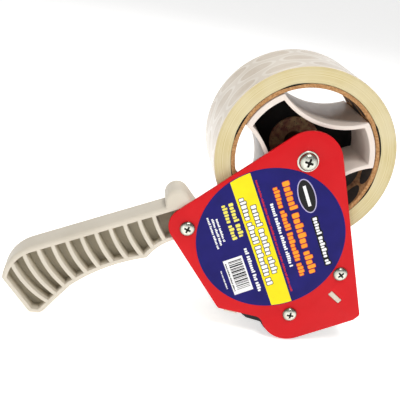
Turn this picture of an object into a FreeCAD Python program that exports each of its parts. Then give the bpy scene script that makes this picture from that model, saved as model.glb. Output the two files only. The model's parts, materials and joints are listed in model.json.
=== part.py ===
"""Pistol-grip packing tape dispenser: a parametric model of its separate pieces.

The pieces are drawn in the side plate's own frame: X to the nose side, Z up, Y from the
plate's outer face towards the far end of the tape hub, with the hub axis through X = Z = 0.
At the end the whole set is tilted onto its press roller and handle tip, and moved so that
the origin is the middle of the bounding box's bottom face.
"""
import FreeCAD, Part
import math
import os
import Sketcher
from FreeCAD import Placement, Rotation, Vector

# ---------------------------------------------------------------- driving dimensions (mm, deg)
DIMENSIONS = [
    ("plate_thick", 1.5, "side plate sheet steel"),
    ("plate_lobe", 17.9, "radius of the plate's lobe round the hub axle"),
    ("lobe_x", 1.3, "centre of that lobe"),
    ("lobe_z", -1.5, "centre of that lobe"),
    ("plate_nose_x", 35.6, "front lower corner of the plate"),
    ("plate_nose_z", -95.0, "front lower corner of the plate"),
    ("plate_left_x", -63.5, "centre of the rounded corner at the handle"),
    ("plate_left_z", -35.0, "centre of the rounded corner at the handle"),
    ("plate_left_round", 10.6, "radius of that corner"),
    ("plate_heel_x", -45.4, "lower rear corner of the plate"),
    ("plate_heel_z", -83.9, "lower rear corner of the plate"),
    ("plate_heel_round", 2.5, "radius of that corner"),
    ("plate_sole", 16.8, "slope of the lower edge ahead of that corner, down to the front"),
    ("plate_neck_round", 6.0, "radius of the hollow between the lower edge and the press roller"),
    ("plate_chin_x", 3.6, "chin of the nose behind its corner"),
    ("plate_chin_z", 3.0, "chin of the nose below its corner"),
    ("plate_nose_round", 1.2, "rounding of the nose's corner"),
    ("plate_roller_margin", 0.9, "how far the plate stops short of the press roller's tread"),
    ("slot_x", 20.1, "middle of the blade holder's slot"),
    ("slot_z", -82.5, "middle of the blade holder's slot"),
    ("slot_long", 8.9, "slot length"),
    ("slot_wide", 3.1, "slot width"),
    ("nose_slope", 45.0, "slope of the blade holder, downwards to the front"),
    ("label_x", -18.05, "label centre"),
    ("label_z", -44.5, "label centre"),
    ("label_round", 41.4, "label radius"),
    ("label_thick", 0.15, "label film"),
    ("tape_gap", 3.5, "plate to the tape roll"),
    ("tape_width", 48.0, "tape width"),
    ("roll_round", 49.4, "outer radius of the wound tape"),
    ("core_inner", 38.1, "inner radius of the cardboard core"),
    ("core_wall", 2.3, "cardboard core wall"),
    ("core_fit", 0.5, "gap between the hub lobes and the core"),
    ("hub_set_back", 0.4, "hub edge in front of the tape roll's near side"),
    ("hub_past_tape", 0.8, "hub past the tape's far edge"),
    ("hub_waist", 21.1, "hub axis to the hollow of each concave wall"),
    ("hub_hollow", 41.9, "radius of the concave walls, outside"),
    ("hub_wall", 2.2, "thickness of the concave walls"),
    ("lobe_wall", 3.1, "thickness of the lobe walls"),
    ("lobe_turn", 10.0, "direction of the first lobe"),
    ("hub_floor_at", 38.4, "near face of the hub floor"),
    ("hub_floor", 2.6, "hub floor thickness"),
    ("hub_boss", 8.0, "radius of the boss round the hub bushing"),
    ("hub_boss_long", 3.0, "boss length past the floor"),
    ("hub_plate", 0.8, "black end plate on the hub floor"),
    ("hub_plate_gap", 0.6, "end plate to the inside of the hub walls"),
    ("bolt_round", 3.0, "hub bolt radius"),
    ("bolt_hole_gap", 0.2, "radial clearance of the hub bolt in the plate and the post"),
    ("bolt_long", 62.0, "hub bolt from under its washer to its far end"),
    ("bolt_head", 5.0, "hub bolt head radius"),
    ("bolt_head_high", 2.9, "hub bolt head height"),
    ("bolt_recess_long", 5.4, "span of the hub bolt's cross recess"),
    ("bolt_recess_wide", 1.15, "width of the arms of that recess"),
    ("bolt_recess_deep", 1.7, "depth of that recess"),
    ("bolt_washer", 5.85, "hub bolt washer radius"),
    ("bolt_washer_thick", 0.8, "hub bolt washer thickness"),
    ("post_round", 6.25, "outer radius of the post that holds the hub off the plate"),
    ("friction_round", 14.4, "friction washer radius"),
    ("friction_thick", 2.0, "friction washer thickness"),
    ("face_gap", 0.05, "gap between faces that turn on each other"),
    ("running_gap", 0.06, "radial clearance of shafts in their bores"),
    ("bushing_wall", 2.2, "hub bushing wall"),
    ("thrust_round", 9.0, "thrust washer radius"),
    ("thrust_thick", 1.0, "thrust washer thickness"),
    ("spring_coil", 5.6, "tension spring coil radius, to the wire's middle"),
    ("spring_wire", 0.7, "tension spring wire radius"),
    ("spring_long", 9.0, "tension spring length"),
    ("spring_pitch", 2.6, "tension spring pitch"),
    ("knob_round", 9.0, "tension knob radius"),
    ("knob_high", 7.0, "tension knob height"),
    ("knob_grooves", 12, "finger grooves round the tension knob"),
    ("knob_groove", 1.1, "radius of those grooves"),
    ("sheet_thick", 1.2, "nose bracket sheet steel"),
    ("cheek_set_back", 1.4, "bracket cheeks behind the plate's nose"),
    ("cheek_stop", 1.0, "bracket cheeks inside the plate's edge round the press roller"),
    ("cheek_behind", 222.0, "where the cheeks leave the press roller's edge"),
    ("cheek_corner_x", 17.1, "cheeks' lower corner behind the press roller's axis"),
    ("cheek_corner_z", 4.8, "cheeks' lower corner below the press roller's axis"),
    ("cheek_foot", 5.3, "cut corner at the foot of the bracket's web"),
    ("cheek_guide", 0.1, "cheeks past the guide roller"),
    ("cheek_top_turn", 95.0, "where the cheeks' top edge meets the guide roller's end"),
    ("cheek_front_turn", 9.5, "where the cheeks' front edge meets the guide roller's end"),
    ("roller_past_tape", 0.3, "both rollers past the tape's far edge"),
    ("roller_side_gap", 0.6, "roller end to bracket cheek"),
    ("press_x", -5.7, "press roller axis"),
    ("press_z", -92.1, "press roller axis"),
    ("press_round", 17.4, "press roller tread radius"),
    ("press_rubber", 3.4, "rubber sleeve thickness"),
    ("press_axle", 4.0, "press roller axle radius"),
    ("guide_x", 22.1, "guide roller axis"),
    ("guide_z", -67.5, "guide roller axis"),
    ("guide_round", 7.3, "guide roller radius"),
    ("guide_axle", 3.5, "guide roller axle radius"),
    ("guide_groove", 0.5, "depth of the guide roller's grooves"),
    ("guide_grooves", 7, "number of those grooves"),
    ("guide_groove_wide", 2.0, "width of those grooves"),
    ("screw_round", 2.0, "small screw shank radius"),
    ("screw_hole_gap", 0.2, "radial clearance of small screws in sheet metal"),
    ("thread_gap", 0.05, "radial clearance of small screws in their threads"),
    ("screw_head", 4.1, "small screw head radius"),
    ("screw_head_high", 2.1, "small screw head height"),
    ("screw_long", 12.0, "small screw length under its head"),
    ("recess_long", 4.6, "span of the cross recess"),
    ("recess_wide", 0.95, "width of the cross recess's arms"),
    ("recess_deep", 1.3, "depth of the cross recess"),
    ("handle_x", -64.0, "handle screw"),
    ("handle_z", -36.3, "handle screw"),
    ("handle_deep", 17.0, "handle depth along the hub axis"),
    ("handle_wall", 2.8, "handle outer wall"),
    ("handle_web", 2.6, "handle middle web"),
    ("handle_edge", 2.0, "rounding of the grip's long edges"),
    ("handle_boss", 5.4, "radius of the boss round the handle screw"),
    ("grip_slope", 15.55, "slope of the grip's back, down to the rear"),
    ("grip_ribs", 11, "number of grip ribs on each side"),
    ("rib_pitch", 8.09, "grip rib spacing"),
    ("rib_thick", 2.1, "grip rib thickness"),
    ("rib_lean", 58.5, "slope of the rearmost rib"),
    ("rib_fan", 0.25, "how much steeper each following rib stands"),
    ("rib_long", 44.0, "length of the rib's outline before the walls trim it"),
    ("rib_above", 8.0, "how much of that length lies above the grip's back"),
    ("rib_bow", 5.04, "how far each rib's outline bows to the rear"),
    ("horn_x", -68.7, "centre of the thumb horn's round top"),
    ("horn_z", -21.2, "centre of the thumb horn's round top"),
    ("horn_round", 6.5, "radius of the thumb horn's top"),
    ("horn_slope", 57.0, "slope of the thumb horn's front"),
    ("horn_flank", 11.1, "length of the thumb horn's straight front"),
    ("horn_drop", 3.3, "straight back of the thumb horn, below its centre"),
    ("horn_solid", 20.0, "how far ahead of its back the horn is moulded solid"),
    ("under_x", -69.2, "where the arm's underside meets the grip"),
    ("under_z", -43.6, "where the arm's underside meets the grip"),
    ("knuckle_x", -86.2, "front end of the grip's finger side"),
    ("knuckle_z", -54.2, "front end of the grip's finger side"),
    ("knuckle_bow", 1.8, "bow of the short curve ahead of the finger side"),
    ("finger_bow", 2.7, "bow of the finger side"),
    ("palm_ahead", 18.6, "rear end of the finger side ahead of the tip"),
    ("palm_above", 16.3, "rear end of the finger side above the tip"),
    ("toe_ahead", 4.1, "start of the tip's curve ahead of it"),
    ("toe_above", 2.7, "start of the tip's curve above it"),
    ("toe_bow", 0.43, "bow of the tip's curve"),
    ("butt_corner", 1.0, "cut corner between the tip and the butt"),
    ("butt_run", 12.3, "straight butt behind the tip"),
    ("butt_rise", 21.0, "rise of the straight butt"),
    ("butt_bow", 3.5, "bow of the butt's round top"),
    ("butt_back", 1.1, "rear end of the grip's straight back, behind the tip"),
    ("rib_first_x", -79.0, "front rib on the grip's back"),
    ("rib_first_z", -28.3, "front rib on the grip's back"),
    ("arm_clear", 5.0, "handle arm to the tape roll"),
    ("arm_peek", 1.6, "handle arm below the plate's lower edge"),
    ("arm_rib", 2.0, "thickness of the ribs in the arm"),
    ("arm_ribs", 2, "number of ribs in the arm, on each side"),
    ("arm_rib_turn", 219.0, "direction of the arm's first rib from the hub axis"),
    ("arm_rib_step", 12.5, "turn from one rib of the arm to the next"),
    ("toe_foot", 2.0, "arm's foot ahead of the plate's heel"),
    ("shin_back", 0.6, "arm's rear corner behind the plate's heel"),
    ("shin_up", 1.5, "arm's rear corner above the plate's heel"),
    ("web_x", -36.0, "rear face of the bracket's cross web"),
    ("web_top_z", -62.0, "top of the bracket's cross web"),
    ("web_foot_z", -88.6, "foot of the bracket's cross web"),
    ("arm_screw_z", -68.5, "height of the upper arm screw"),
    ("arm_screw_step", 11.0, "from the upper arm screw down to the lower one"),
    ("arm_block", 13.0, "depth of the block that takes the arm screws"),
    ("arm_block_edge", 5.0, "that block past each screw"),
    ("insert_wall", 1.2, "wall of the threaded insert in the handle"),
    ("insert_long", 8.0, "length of the threaded insert"),
    ("insert_sunk", 0.5, "insert's end behind the plate"),
    ("insert_gap", 0.05, "insert to its hole in the handle"),
    ("holder_rear", 7.0, "blade holder behind the slot's middle"),
    ("holder_front", 14.5, "blade holder ahead of the slot's middle"),
    ("tab_gap", 0.2, "blade holder tabs in their slots, each side"),
    ("holder_end_gap", 0.3, "blade holder's bed to each cheek"),
    ("holder_tab_back", 0.1, "near tab's end behind the plate's outer face"),
    ("blade_thick", 0.6, "blade steel"),
    ("blade_back", 6.5, "blade's rear edge ahead of the slot's middle"),
    ("blade_reach", 20.4, "blade's tooth tips ahead of the slot's middle"),
    ("tooth_deep", 1.5, "blade tooth depth"),
    ("tooth_pitch", 2.0, "blade tooth spacing"),
    ("rivet_round", 1.5, "blade rivet radius"),
    ("rivet_gap", 0.05, "radial clearance of the blade rivets"),
    ("rivet_head", 2.7, "radius of the blade rivets' heads"),
    ("rivet_head_high", 0.8, "height of the blade rivets' heads"),
    ("rivet_ahead", 10.5, "blade rivets ahead of the slot's middle"),
    ("flap_pin", 1.25, "tape flap pin radius"),
    ("flap_x", 27.2, "tape flap pin"),
    ("flap_z", -77.4, "tape flap pin"),
    ("flap_thick", 0.9, "tape flap thickness"),
    ("flap_long", 12.6, "tape flap, pin to lip"),
    ("flap_lean", 21.0, "tape flap's slope away from upright"),
    ("flap_barrel", 2.3, "radius of the flap's barrel round its pin"),
    ("flap_coil_long", 5.0, "space for the flap's spring on its pin"),
    ("flap_wire", 0.3, "flap spring wire radius"),
    ("flap_pitch", 0.9, "flap spring pitch"),
    ("flap_coil_gap", 0.2, "flap spring clear of its pin"),
    ("flap_coil_end", 0.4, "flap spring clear of the flap"),
    ("flap_side_gap", 1.0, "flap clear of each cheek"),
    ("tip_x", -147.3, "front end of the handle tip's flat"),
    ("tip_z", -85.7, "front end of the handle tip's flat"),
    ("tip_flat", 4.8, "length of the handle tip's flat"),
]

doc = FreeCAD.newDocument("tape_dispenser")
dims = doc.addObject("Spreadsheet::Sheet", "dims")
size = {}
for row, (alias, value, meaning) in enumerate(DIMENSIONS, start=1):
    dims.set("A%d" % row, alias)
    dims.set("B%d" % row, str(value))
    dims.set("C%d" % row, meaning)
    dims.setAlias("B%d" % row, alias)
    size[alias] = value
doc.recompute()

NODES = []


# ---------------------------------------------------------------- small builders
def bind(thing, **expressions):
    """Tie properties to the sheet; a double underscore stands for a dot."""
    for name, expression in expressions.items():
        thing.setExpression(name.replace("__", "."), expression)


def node(thing, label):
    """Keep an object as one named piece of the dispenser."""
    thing.Label = label
    NODES.append(thing)
    return thing


def polar(angle, radius, centre=(0.0, 0.0)):
    turn = math.radians(angle)
    return (centre[0] + radius * math.cos(turn), centre[1] + radius * math.sin(turn))


def spot(point):
    return Vector(point[0], point[1], 0)


def line(start, end):
    return Part.LineSegment(spot(start), spot(end))


def arc(start, middle, end):
    return Part.Arc(spot(start), spot(middle), spot(end))


def polygon(points):
    return [line(points[i - 1], points[i]) for i in range(len(points))]


def unit(start, end):
    run = math.dist(start, end)
    return ((end[0] - start[0]) / run, (end[1] - start[1]) / run)


def bowed(start, end, bow):
    """An arc that stands off the straight line to its left by bow."""
    run = unit(start, end)
    middle = ((start[0] + end[0]) / 2 - bow * run[1], (start[1] + end[1]) / 2 + bow * run[0])
    return arc(start, middle, end)


def sketch_on(body, name, role, geometry, away=None):
    """A sketch on one of the body's own origin planes, lifted by an expression."""
    sketch = body.newObject("Sketcher::SketchObject", name)
    plane = next(f for f in body.Origin.OriginFeatures if f.Role == role)
    sketch.AttachmentSupport = [(plane, "")]
    sketch.MapMode = "FlatFace"
    if away is not None:
        bind(sketch, AttachmentOffset__Base__z=away)
    for piece in geometry:
        sketch.addGeometry(piece, False)
    return sketch


def hold_circle(sketch, x, z, radius):
    """A circle whose centre and radius follow cells of the sheet."""
    values = [eval_cell(x), eval_cell(z), eval_cell(radius)]
    ring = sketch.addGeometry(Part.Circle(Vector(values[0], values[1], 0), Vector(0, 0, 1), values[2]))
    for kind, expression, value in (("DistanceX", x, values[0]), ("DistanceY", z, values[1])):
        if abs(value) > 1e-9:
            held = sketch.addConstraint(Sketcher.Constraint(kind, -1, 1, ring, 3, value))
            sketch.setExpression("Constraints[%d]" % held, expression)
    held = sketch.addConstraint(Sketcher.Constraint("Radius", ring, values[2]))
    sketch.setExpression("Constraints[%d]" % held, radius)


def eval_cell(expression):
    """The number that an expression on the sheet's cells stands for."""
    return float(dims.evalExpression(expression.replace("dims.", "")))


def pad(body, sketch, length):
    """Add material from the sketch towards +Y."""
    feature = body.newObject("PartDesign::Pad", sketch.Name + "_pad")
    feature.Profile = sketch
    feature.Reversed = True
    bind(feature, Length=length)
    body.Tip = feature
    return feature


def pocket(body, sketch, length):
    """Remove material from the sketch towards +Y."""
    feature = body.newObject("PartDesign::Pocket", sketch.Name + "_cut")
    feature.Profile = sketch
    feature.Reversed = False
    bind(feature, Length=length)
    body.Tip = feature
    return feature


def rod(name, radius, start, length, x="0", z="0"):
    """A cylinder along Y."""
    thing = doc.addObject("Part::Cylinder", name)
    thing.Placement = Placement(Vector(), Rotation(Vector(1, 0, 0), -90))
    bind(thing, Radius=radius, Height=length)
    bind(thing, Placement__Base__x=x, Placement__Base__y=start, Placement__Base__z=z)
    return thing


def cut(name, base, tool):
    thing = doc.addObject("Part::Cut", name)
    thing.Base = base
    thing.Tool = tool
    return thing


def fuse(name, pieces):
    thing = doc.addObject("Part::MultiFuse", name)
    thing.Shapes = pieces
    return thing


def tube(label, outer, inner, start, length, x="0", z="0"):
    """A ring or sleeve along Y."""
    body = rod(label + "_body", outer, start, length, x, z)
    bore = rod(label + "_bore", inner, "%s - 1" % start, "%s + 2" % length, x, z)
    return node(cut(label + "_ring", body, bore), label)


# ---------------------------------------------------------------- where things stand along the axle
TAPE_AT = "(dims.plate_thick + dims.tape_gap)"
TAPE_END = "(%s + dims.tape_width)" % TAPE_AT
HUB_AT = "(%s - dims.hub_set_back)" % TAPE_AT
HUB_LONG = "(%s + dims.hub_past_tape - %s)" % (TAPE_END, HUB_AT)
FLOOR_AT = "dims.hub_floor_at"
PLATE_FACE = "(%s - dims.hub_plate)" % FLOOR_AT
FRICTION_AT = "(%s - dims.face_gap - dims.friction_thick)" % PLATE_FACE
BOSS_END = "(%s + dims.hub_floor + dims.hub_boss_long)" % FLOOR_AT
THRUST_AT = "(%s + dims.face_gap)" % BOSS_END
SPRING_AT = "(%s + dims.thrust_thick)" % THRUST_AT
KNOB_AT = "(%s + dims.spring_long + dims.face_gap)" % SPRING_AT
CHEEK_AT = "dims.plate_thick"
ROOM_AT = "(dims.plate_thick + dims.sheet_thick)"
ROLLER_AT = "(%s + dims.roller_side_gap)" % ROOM_AT
ROLLER_WIDE = "(%s + dims.roller_past_tape - %s)" % (TAPE_END, ROLLER_AT)
ROOM_WIDE = "(%s + 2 * dims.roller_side_gap)" % ROLLER_WIDE
ROOM_END = "(%s + %s)" % (ROOM_AT, ROOM_WIDE)
FAR_FACE = "(%s + dims.sheet_thick)" % ROOM_END
HOLE = "(dims.screw_round + dims.screw_hole_gap)"
THREAD = "(dims.screw_round + dims.thread_gap)"


# ---------------------------------------------------------------- side plate and label
def roller_stop():
    """Radius of the plate's edge round the press roller."""
    return size["press_round"] - size["plate_roller_margin"]


def tangent_from(point, centre, radius, side):
    """Where a line from a point touches a circle; side is +1 or -1."""
    reach = math.dist(point, centre)
    toward = math.degrees(math.atan2(point[1] - centre[1], point[0] - centre[0]))
    return polar(toward + side * math.degrees(math.acos(radius / reach)), radius, centre)


def common_tangent(first, first_radius, second, second_radius, side):
    """Ends of the outer line that touches two circles on the same side."""
    reach = math.dist(first, second)
    toward = math.degrees(math.atan2(second[1] - first[1], second[0] - first[0]))
    lean = toward + side * math.degrees(math.acos((first_radius - second_radius) / reach))
    return polar(lean, first_radius, first), polar(lean, second_radius, second), lean


def plate_outline():
    """The plate's edge, clockwise from the top lobe."""
    lobe = (size["lobe_x"], size["lobe_z"])
    left = (size["plate_left_x"], size["plate_left_z"])
    heel = (size["plate_heel_x"], size["plate_heel_z"])
    press = (size["press_x"], size["press_z"])
    nose = (size["plate_nose_x"], size["plate_nose_z"])
    top_start, top_end, top_lean = common_tangent(left, size["plate_left_round"],
                                                  lobe, size["plate_lobe"], 1)
    front = tangent_from(nose, lobe, size["plate_lobe"], 1)
    front_lean = math.degrees(math.atan2(front[1] - lobe[1], front[0] - lobe[0]))
    rear_start, rear_end, rear_lean = common_tangent(left, size["plate_left_round"],
                                                     heel, size["plate_heel_round"], -1)
    neck_round = size["plate_neck_round"]
    stop = roller_stop()
    heel_lean = 270 - size["plate_sole"]
    heel_end = polar(heel_lean, size["plate_heel_round"], heel)
    run = unit((0, 0), polar(heel_lean + 90, 1.0))
    # the hollow between the heel's edge and the roller's edge is an arc that touches both
    side = (heel_end[0] + polar(heel_lean, neck_round)[0], heel_end[1] + polar(heel_lean, neck_round)[1])
    along = (press[0] - side[0]) * run[0] + (press[1] - side[1]) * run[1]
    off = abs((press[0] - side[0]) * run[1] - (press[1] - side[1]) * run[0])
    ahead = along - math.sqrt((stop + neck_round) ** 2 - off ** 2)
    neck = (side[0] + run[0] * ahead, side[1] + run[1] * ahead)
    neck_start = polar(heel_lean + 180, neck_round, neck)
    neck_turn = math.degrees(math.atan2(press[1] - neck[1], press[0] - neck[0]))
    neck_middle = polar((heel_lean + 180 + neck_turn + 360) / 2 % 360, neck_round, neck)
    neck_end = polar(neck_turn, neck_round, neck)
    chin_corner = (nose[0] - size["plate_chin_x"], nose[1] - size["plate_chin_z"])
    chin = tangent_from(chin_corner, press, stop, -1)
    chin_lean = math.degrees(math.atan2(chin[1] - press[1], chin[0] - press[0]))
    stop_turn = math.degrees(math.atan2(neck_end[1] - press[1], neck_end[0] - press[0]))
    stop_middle = polar((stop_turn % 360 + chin_lean % 360) / 2, stop, press)
    nose_cut = size["plate_nose_round"]
    over = unit(nose, front)
    under = unit(nose, chin_corner)
    nose_start = (nose[0] + over[0] * nose_cut, nose[1] + over[1] * nose_cut)
    nose_end = (nose[0] + under[0] * nose_cut, nose[1] + under[1] * nose_cut)
    half = math.acos(over[0] * under[0] + over[1] * under[1]) / 2
    nose_bow = nose_cut * math.tan(half) * (1 - math.sin(half))
    return [
        line(top_start, top_end),
        arc(top_end, polar((top_lean + front_lean) / 2, size["plate_lobe"], lobe), front),
        line(front, nose_start),
        bowed(nose_start, nose_end, nose_bow),
        line(nose_end, chin_corner),
        line(chin_corner, chin),
        arc(chin, stop_middle, neck_end),
        arc(neck_end, neck_middle, neck_start),
        line(neck_start, heel_end),
        arc(heel_end, polar((rear_lean % 360 + heel_lean) / 2, size["plate_heel_round"], heel), rear_end),
        line(rear_end, rear_start),
        arc(rear_start, polar((rear_lean % 360 + top_lean) / 2, size["plate_left_round"], left), top_start),
    ]


def slot_outline(gap=0.0):
    """The sloping slot that the blade holder's tabs go through."""
    slope = math.radians(size["nose_slope"])
    run = (math.cos(slope), -math.sin(slope))
    side = (math.sin(slope), math.cos(slope))
    half_long = size["slot_long"] / 2 - gap
    half_wide = size["slot_wide"] / 2 - gap
    corners = []
    for along, across in ((-1, -1), (1, -1), (1, 1), (-1, 1)):
        corners.append((size["slot_x"] + along * half_long * run[0] + across * half_wide * side[0],
                        size["slot_z"] + along * half_long * run[1] + across * half_wide * side[1]))
    return polygon(corners)


def make_side_plate():
    body = doc.addObject("PartDesign::Body", "side_plate_body")
    blank = sketch_on(body, "plate_edge", "XZ_Plane", plate_outline())
    pad(body, blank, "dims.plate_thick")
    holes = sketch_on(body, "plate_holes", "XZ_Plane", slot_outline())
    hold_circle(holes, "0", "0", "dims.bolt_round + dims.bolt_hole_gap")
    for name in ("handle", "press", "guide"):
        hold_circle(holes, "dims.%s_x" % name, "dims.%s_z" % name, HOLE)
    pocket(body, holes, "dims.plate_thick")
    return node(body, "side_plate")


def make_label():
    disc = rod("label_disc", "dims.label_round", "-dims.label_thick", "dims.label_thick",
               "dims.label_x", "dims.label_z")
    film = doc.addObject("Part::Compound", "label_film")
    film.Links = [disc]
    return node(film, "label")


# ---------------------------------------------------------------- screws
def screw_body(name, head, high, shank, length, recess):
    """A domed screw on the Y axis: its head lies on y < 0 and its shank on y > 0."""
    body = doc.addObject("PartDesign::Body", name)
    head_edge = 0.35 * high
    chamfer = 0.3 * shank
    dome = ((0, -high), (0.62 * head, -(head_edge + 0.72 * (high - head_edge))), (head, -head_edge))
    profile = sketch_on(body, name + "_half", "XY_Plane", [
        arc(*dome), line((head, -head_edge), (head, 0)), line((head, 0), (shank, 0)),
        line((shank, 0), (shank, length - chamfer)),
        line((shank, length - chamfer), (shank - chamfer, length)),
        line((shank - chamfer, length), (0, length)), line((0, length), (0, -high))])
    turned = body.newObject("PartDesign::Revolution", name + "_turned")
    turned.Profile = profile
    turned.ReferenceAxis = (profile, ["V_Axis"])
    turned.Angle = 360
    body.Tip = turned
    span, width, deep = recess
    a, b = span / 2, width / 2
    cross = polygon([(a, b), (b, b), (b, a), (-b, a), (-b, b), (-a, b),
                     (-a, -b), (-b, -b), (-b, -a), (b, -a), (b, -b), (a, -b)])
    slot = sketch_on(body, name + "_cross", "XZ_Plane", cross)
    slot.AttachmentOffset = Placement(Vector(0, 0, high), Rotation())
    cutting = body.newObject("PartDesign::Pocket", name + "_recess")
    cutting.Profile = slot
    cutting.Length = deep
    body.Tip = cutting
    return body


def small_screw(name, x, y, z, turn=None):
    """One of the identical small screws, put where the sheet's cells say."""
    recess = (size["recess_long"], size["recess_wide"], size["recess_deep"])
    body = screw_body(name, size["screw_head"], size["screw_head_high"], size["screw_round"],
                      size["screw_long"], recess)
    if turn is not None:
        body.Placement = Placement(Vector(), turn)
    bind(body, Placement__Base__x=x, Placement__Base__y=y, Placement__Base__z=z)
    return body


def group(label, pieces):
    thing = doc.addObject("Part::Compound", label + "_set")
    thing.Links = pieces
    return node(thing, label)


def make_screws():
    group("plate_screws", [small_screw("near_screw_" + name, "dims.%s_x" % name, "0", "dims.%s_z" % name)
                           for name in ("handle", "press", "guide")])
    about = Rotation(Vector(0, 0, 1), 180)
    group("bracket_screws", [small_screw("far_screw_" + name, "dims.%s_x" % name, FAR_FACE,
                                         "dims.%s_z" % name, about) for name in ("press", "guide")])
    face_left = Rotation(Vector(0, 0, 1), 90)
    group("arm_screws", [small_screw("arm_screw_%d" % i, "dims.web_x + dims.sheet_thick", ARM_MIDDLE,
                                     height, face_left)
                         for i, height in enumerate(ARM_SCREW_HEIGHTS, start=1)])


ARM_MIDDLE = "(dims.plate_thick + dims.handle_deep / 2)"
ARM_SCREW_HEIGHTS = ("dims.arm_screw_z", "(dims.arm_screw_z - dims.arm_screw_step)")


# ---------------------------------------------------------------- hub axle, brake and knob
def make_axle():
    recess = (size["bolt_recess_long"], size["bolt_recess_wide"], size["bolt_recess_deep"])
    bolt = screw_body("hub_bolt_body", size["bolt_head"], size["bolt_head_high"], size["bolt_round"],
                      size["bolt_long"], recess)
    bind(bolt, Placement__Base__y="-dims.bolt_washer_thick")
    group("hub_bolt", [bolt])
    shaft = "dims.bolt_round + dims.bolt_hole_gap"
    tube("hub_bolt_washer", "dims.bolt_washer", shaft, "(-dims.bolt_washer_thick)", "dims.bolt_washer_thick")
    tube("hub_post", "dims.post_round", shaft, "dims.plate_thick",
         "(%s - dims.plate_thick)" % FRICTION_AT)
    tube("friction_washer", "dims.friction_round", shaft, FRICTION_AT, "dims.friction_thick")
    tube("thrust_washer", "dims.thrust_round", shaft, THRUST_AT, "dims.thrust_thick")


WIRE_SIDES = 12


def coil_spring(name, radius, wire, pitch, travel, centre):
    """A helix of wire along +Y from a centre; the wire's section has flat sides."""
    helix = Part.makeHelix(pitch, travel, radius)
    corners = []
    for i in range(WIRE_SIDES + 1):
        x, z = polar(360 * i / WIRE_SIDES, wire, (radius, 0.0))
        corners.append(Vector(x, 0, z))
    thing = doc.addObject("Part::Feature", name + "_coil")
    thing.Shape = Part.Wire(helix.Edges).makePipeShell([Part.makePolygon(corners)], True, True)
    thing.Placement = Placement(centre, Rotation(Vector(1, 0, 0), -90))
    return group(name, [thing])


def make_spring():
    """The coil between the thrust washer and the knob."""
    wire = size["spring_wire"]
    centre = Vector(0, eval_cell(SPRING_AT) + wire, 0)
    coil_spring("tension_spring", size["spring_coil"], wire, size["spring_pitch"],
                size["spring_long"] - 2 * wire, centre)


def make_knob():
    body = rod("knob_blank", "dims.knob_round", KNOB_AT, "dims.knob_high")
    bore = rod("knob_bore", "dims.bolt_round + dims.running_gap", "%s - 1" % KNOB_AT, "dims.knob_high + 2")
    grooves = []
    for i in range(int(size["knob_grooves"])):
        turn = "%d * 360 / dims.knob_grooves" % i
        grooves.append(rod("knob_groove_%d" % i, "dims.knob_groove", "%s - 1" % KNOB_AT,
                           "dims.knob_high + 2", "dims.knob_round * cos(%s)" % turn,
                           "dims.knob_round * sin(%s)" % turn))
    node(cut("knob_body", body, fuse("knob_cuts", [bore] + grooves)), "tension_knob")


# ---------------------------------------------------------------- hub
def trilobe(lobe_radius, hollow_radius):
    """Three round lobes joined by three hollow arcs, as one closed outline."""
    far = size["hub_waist"] + size["hub_hollow"]
    swing = math.degrees(math.acos((far ** 2 + lobe_radius ** 2 - hollow_radius ** 2)
                                   / (2 * far * lobe_radius)))
    edges = []
    for i in range(3):
        middle = size["lobe_turn"] + 120 * i
        start = polar(middle - 60 + swing, lobe_radius)
        end = polar(middle + 60 - swing, lobe_radius)
        edges.append(arc(start, polar(middle, lobe_radius), end))
        hollow = polar(middle + 60, far - hollow_radius)
        edges.append(arc(end, hollow, polar(middle + 60 + swing, lobe_radius)))
    return edges


def make_hub():
    lobe = size["core_inner"] - size["core_fit"]
    inside = (lobe - size["lobe_wall"], size["hub_hollow"] + size["hub_wall"])
    body = doc.addObject("PartDesign::Body", "hub_body")
    outer = sketch_on(body, "hub_outside", "XZ_Plane", trilobe(lobe, size["hub_hollow"]), "-%s" % HUB_AT)
    pad(body, outer, HUB_LONG)
    near = sketch_on(body, "hub_near_room", "XZ_Plane", trilobe(*inside), "-%s" % HUB_AT)
    pocket(body, near, "%s - %s" % (FLOOR_AT, HUB_AT))
    back = "(%s + dims.hub_floor)" % FLOOR_AT
    far = sketch_on(body, "hub_far_room", "XZ_Plane", trilobe(*inside), "-%s" % back)
    pocket(body, far, "%s + %s - %s" % (HUB_AT, HUB_LONG, back))
    boss = sketch_on(body, "hub_boss_ring", "XZ_Plane", [], "-%s" % FLOOR_AT)
    hold_circle(boss, "0", "0", "dims.hub_boss")
    pad(body, boss, "%s - %s" % (BOSS_END, FLOOR_AT))
    bore = sketch_on(body, "hub_bore", "XZ_Plane", [], "-(%s - 1)" % FLOOR_AT)
    hold_circle(bore, "0", "0", "dims.bolt_round + dims.running_gap + dims.bushing_wall")
    pocket(body, bore, "%s - %s + 2" % (BOSS_END, FLOOR_AT))
    node(body, "hub")
    plate = doc.addObject("PartDesign::Body", "hub_plate_body")
    gap = size["hub_plate_gap"]
    edge = sketch_on(plate, "hub_plate_edge", "XZ_Plane", trilobe(inside[0] - gap, inside[1] + gap),
                     "-%s" % PLATE_FACE)
    pad(plate, edge, "dims.hub_plate")
    hole = sketch_on(plate, "hub_plate_hole", "XZ_Plane", [], "-%s" % PLATE_FACE)
    hold_circle(hole, "0", "0", "dims.bolt_round + dims.running_gap + dims.bushing_wall")
    pocket(plate, hole, "dims.hub_plate")
    node(plate, "hub_end_plate")
    tube("hub_bushing", "dims.bolt_round + dims.running_gap + dims.bushing_wall",
         "dims.bolt_round + dims.running_gap", PLATE_FACE, "(%s - %s)" % (BOSS_END, PLATE_FACE))


def make_tape():
    core = "dims.core_inner + dims.core_wall"
    tube("tape_core", core, "dims.core_inner", TAPE_AT, "dims.tape_width")
    tube("tape_roll", "dims.roll_round", core, TAPE_AT, "dims.tape_width")


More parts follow.
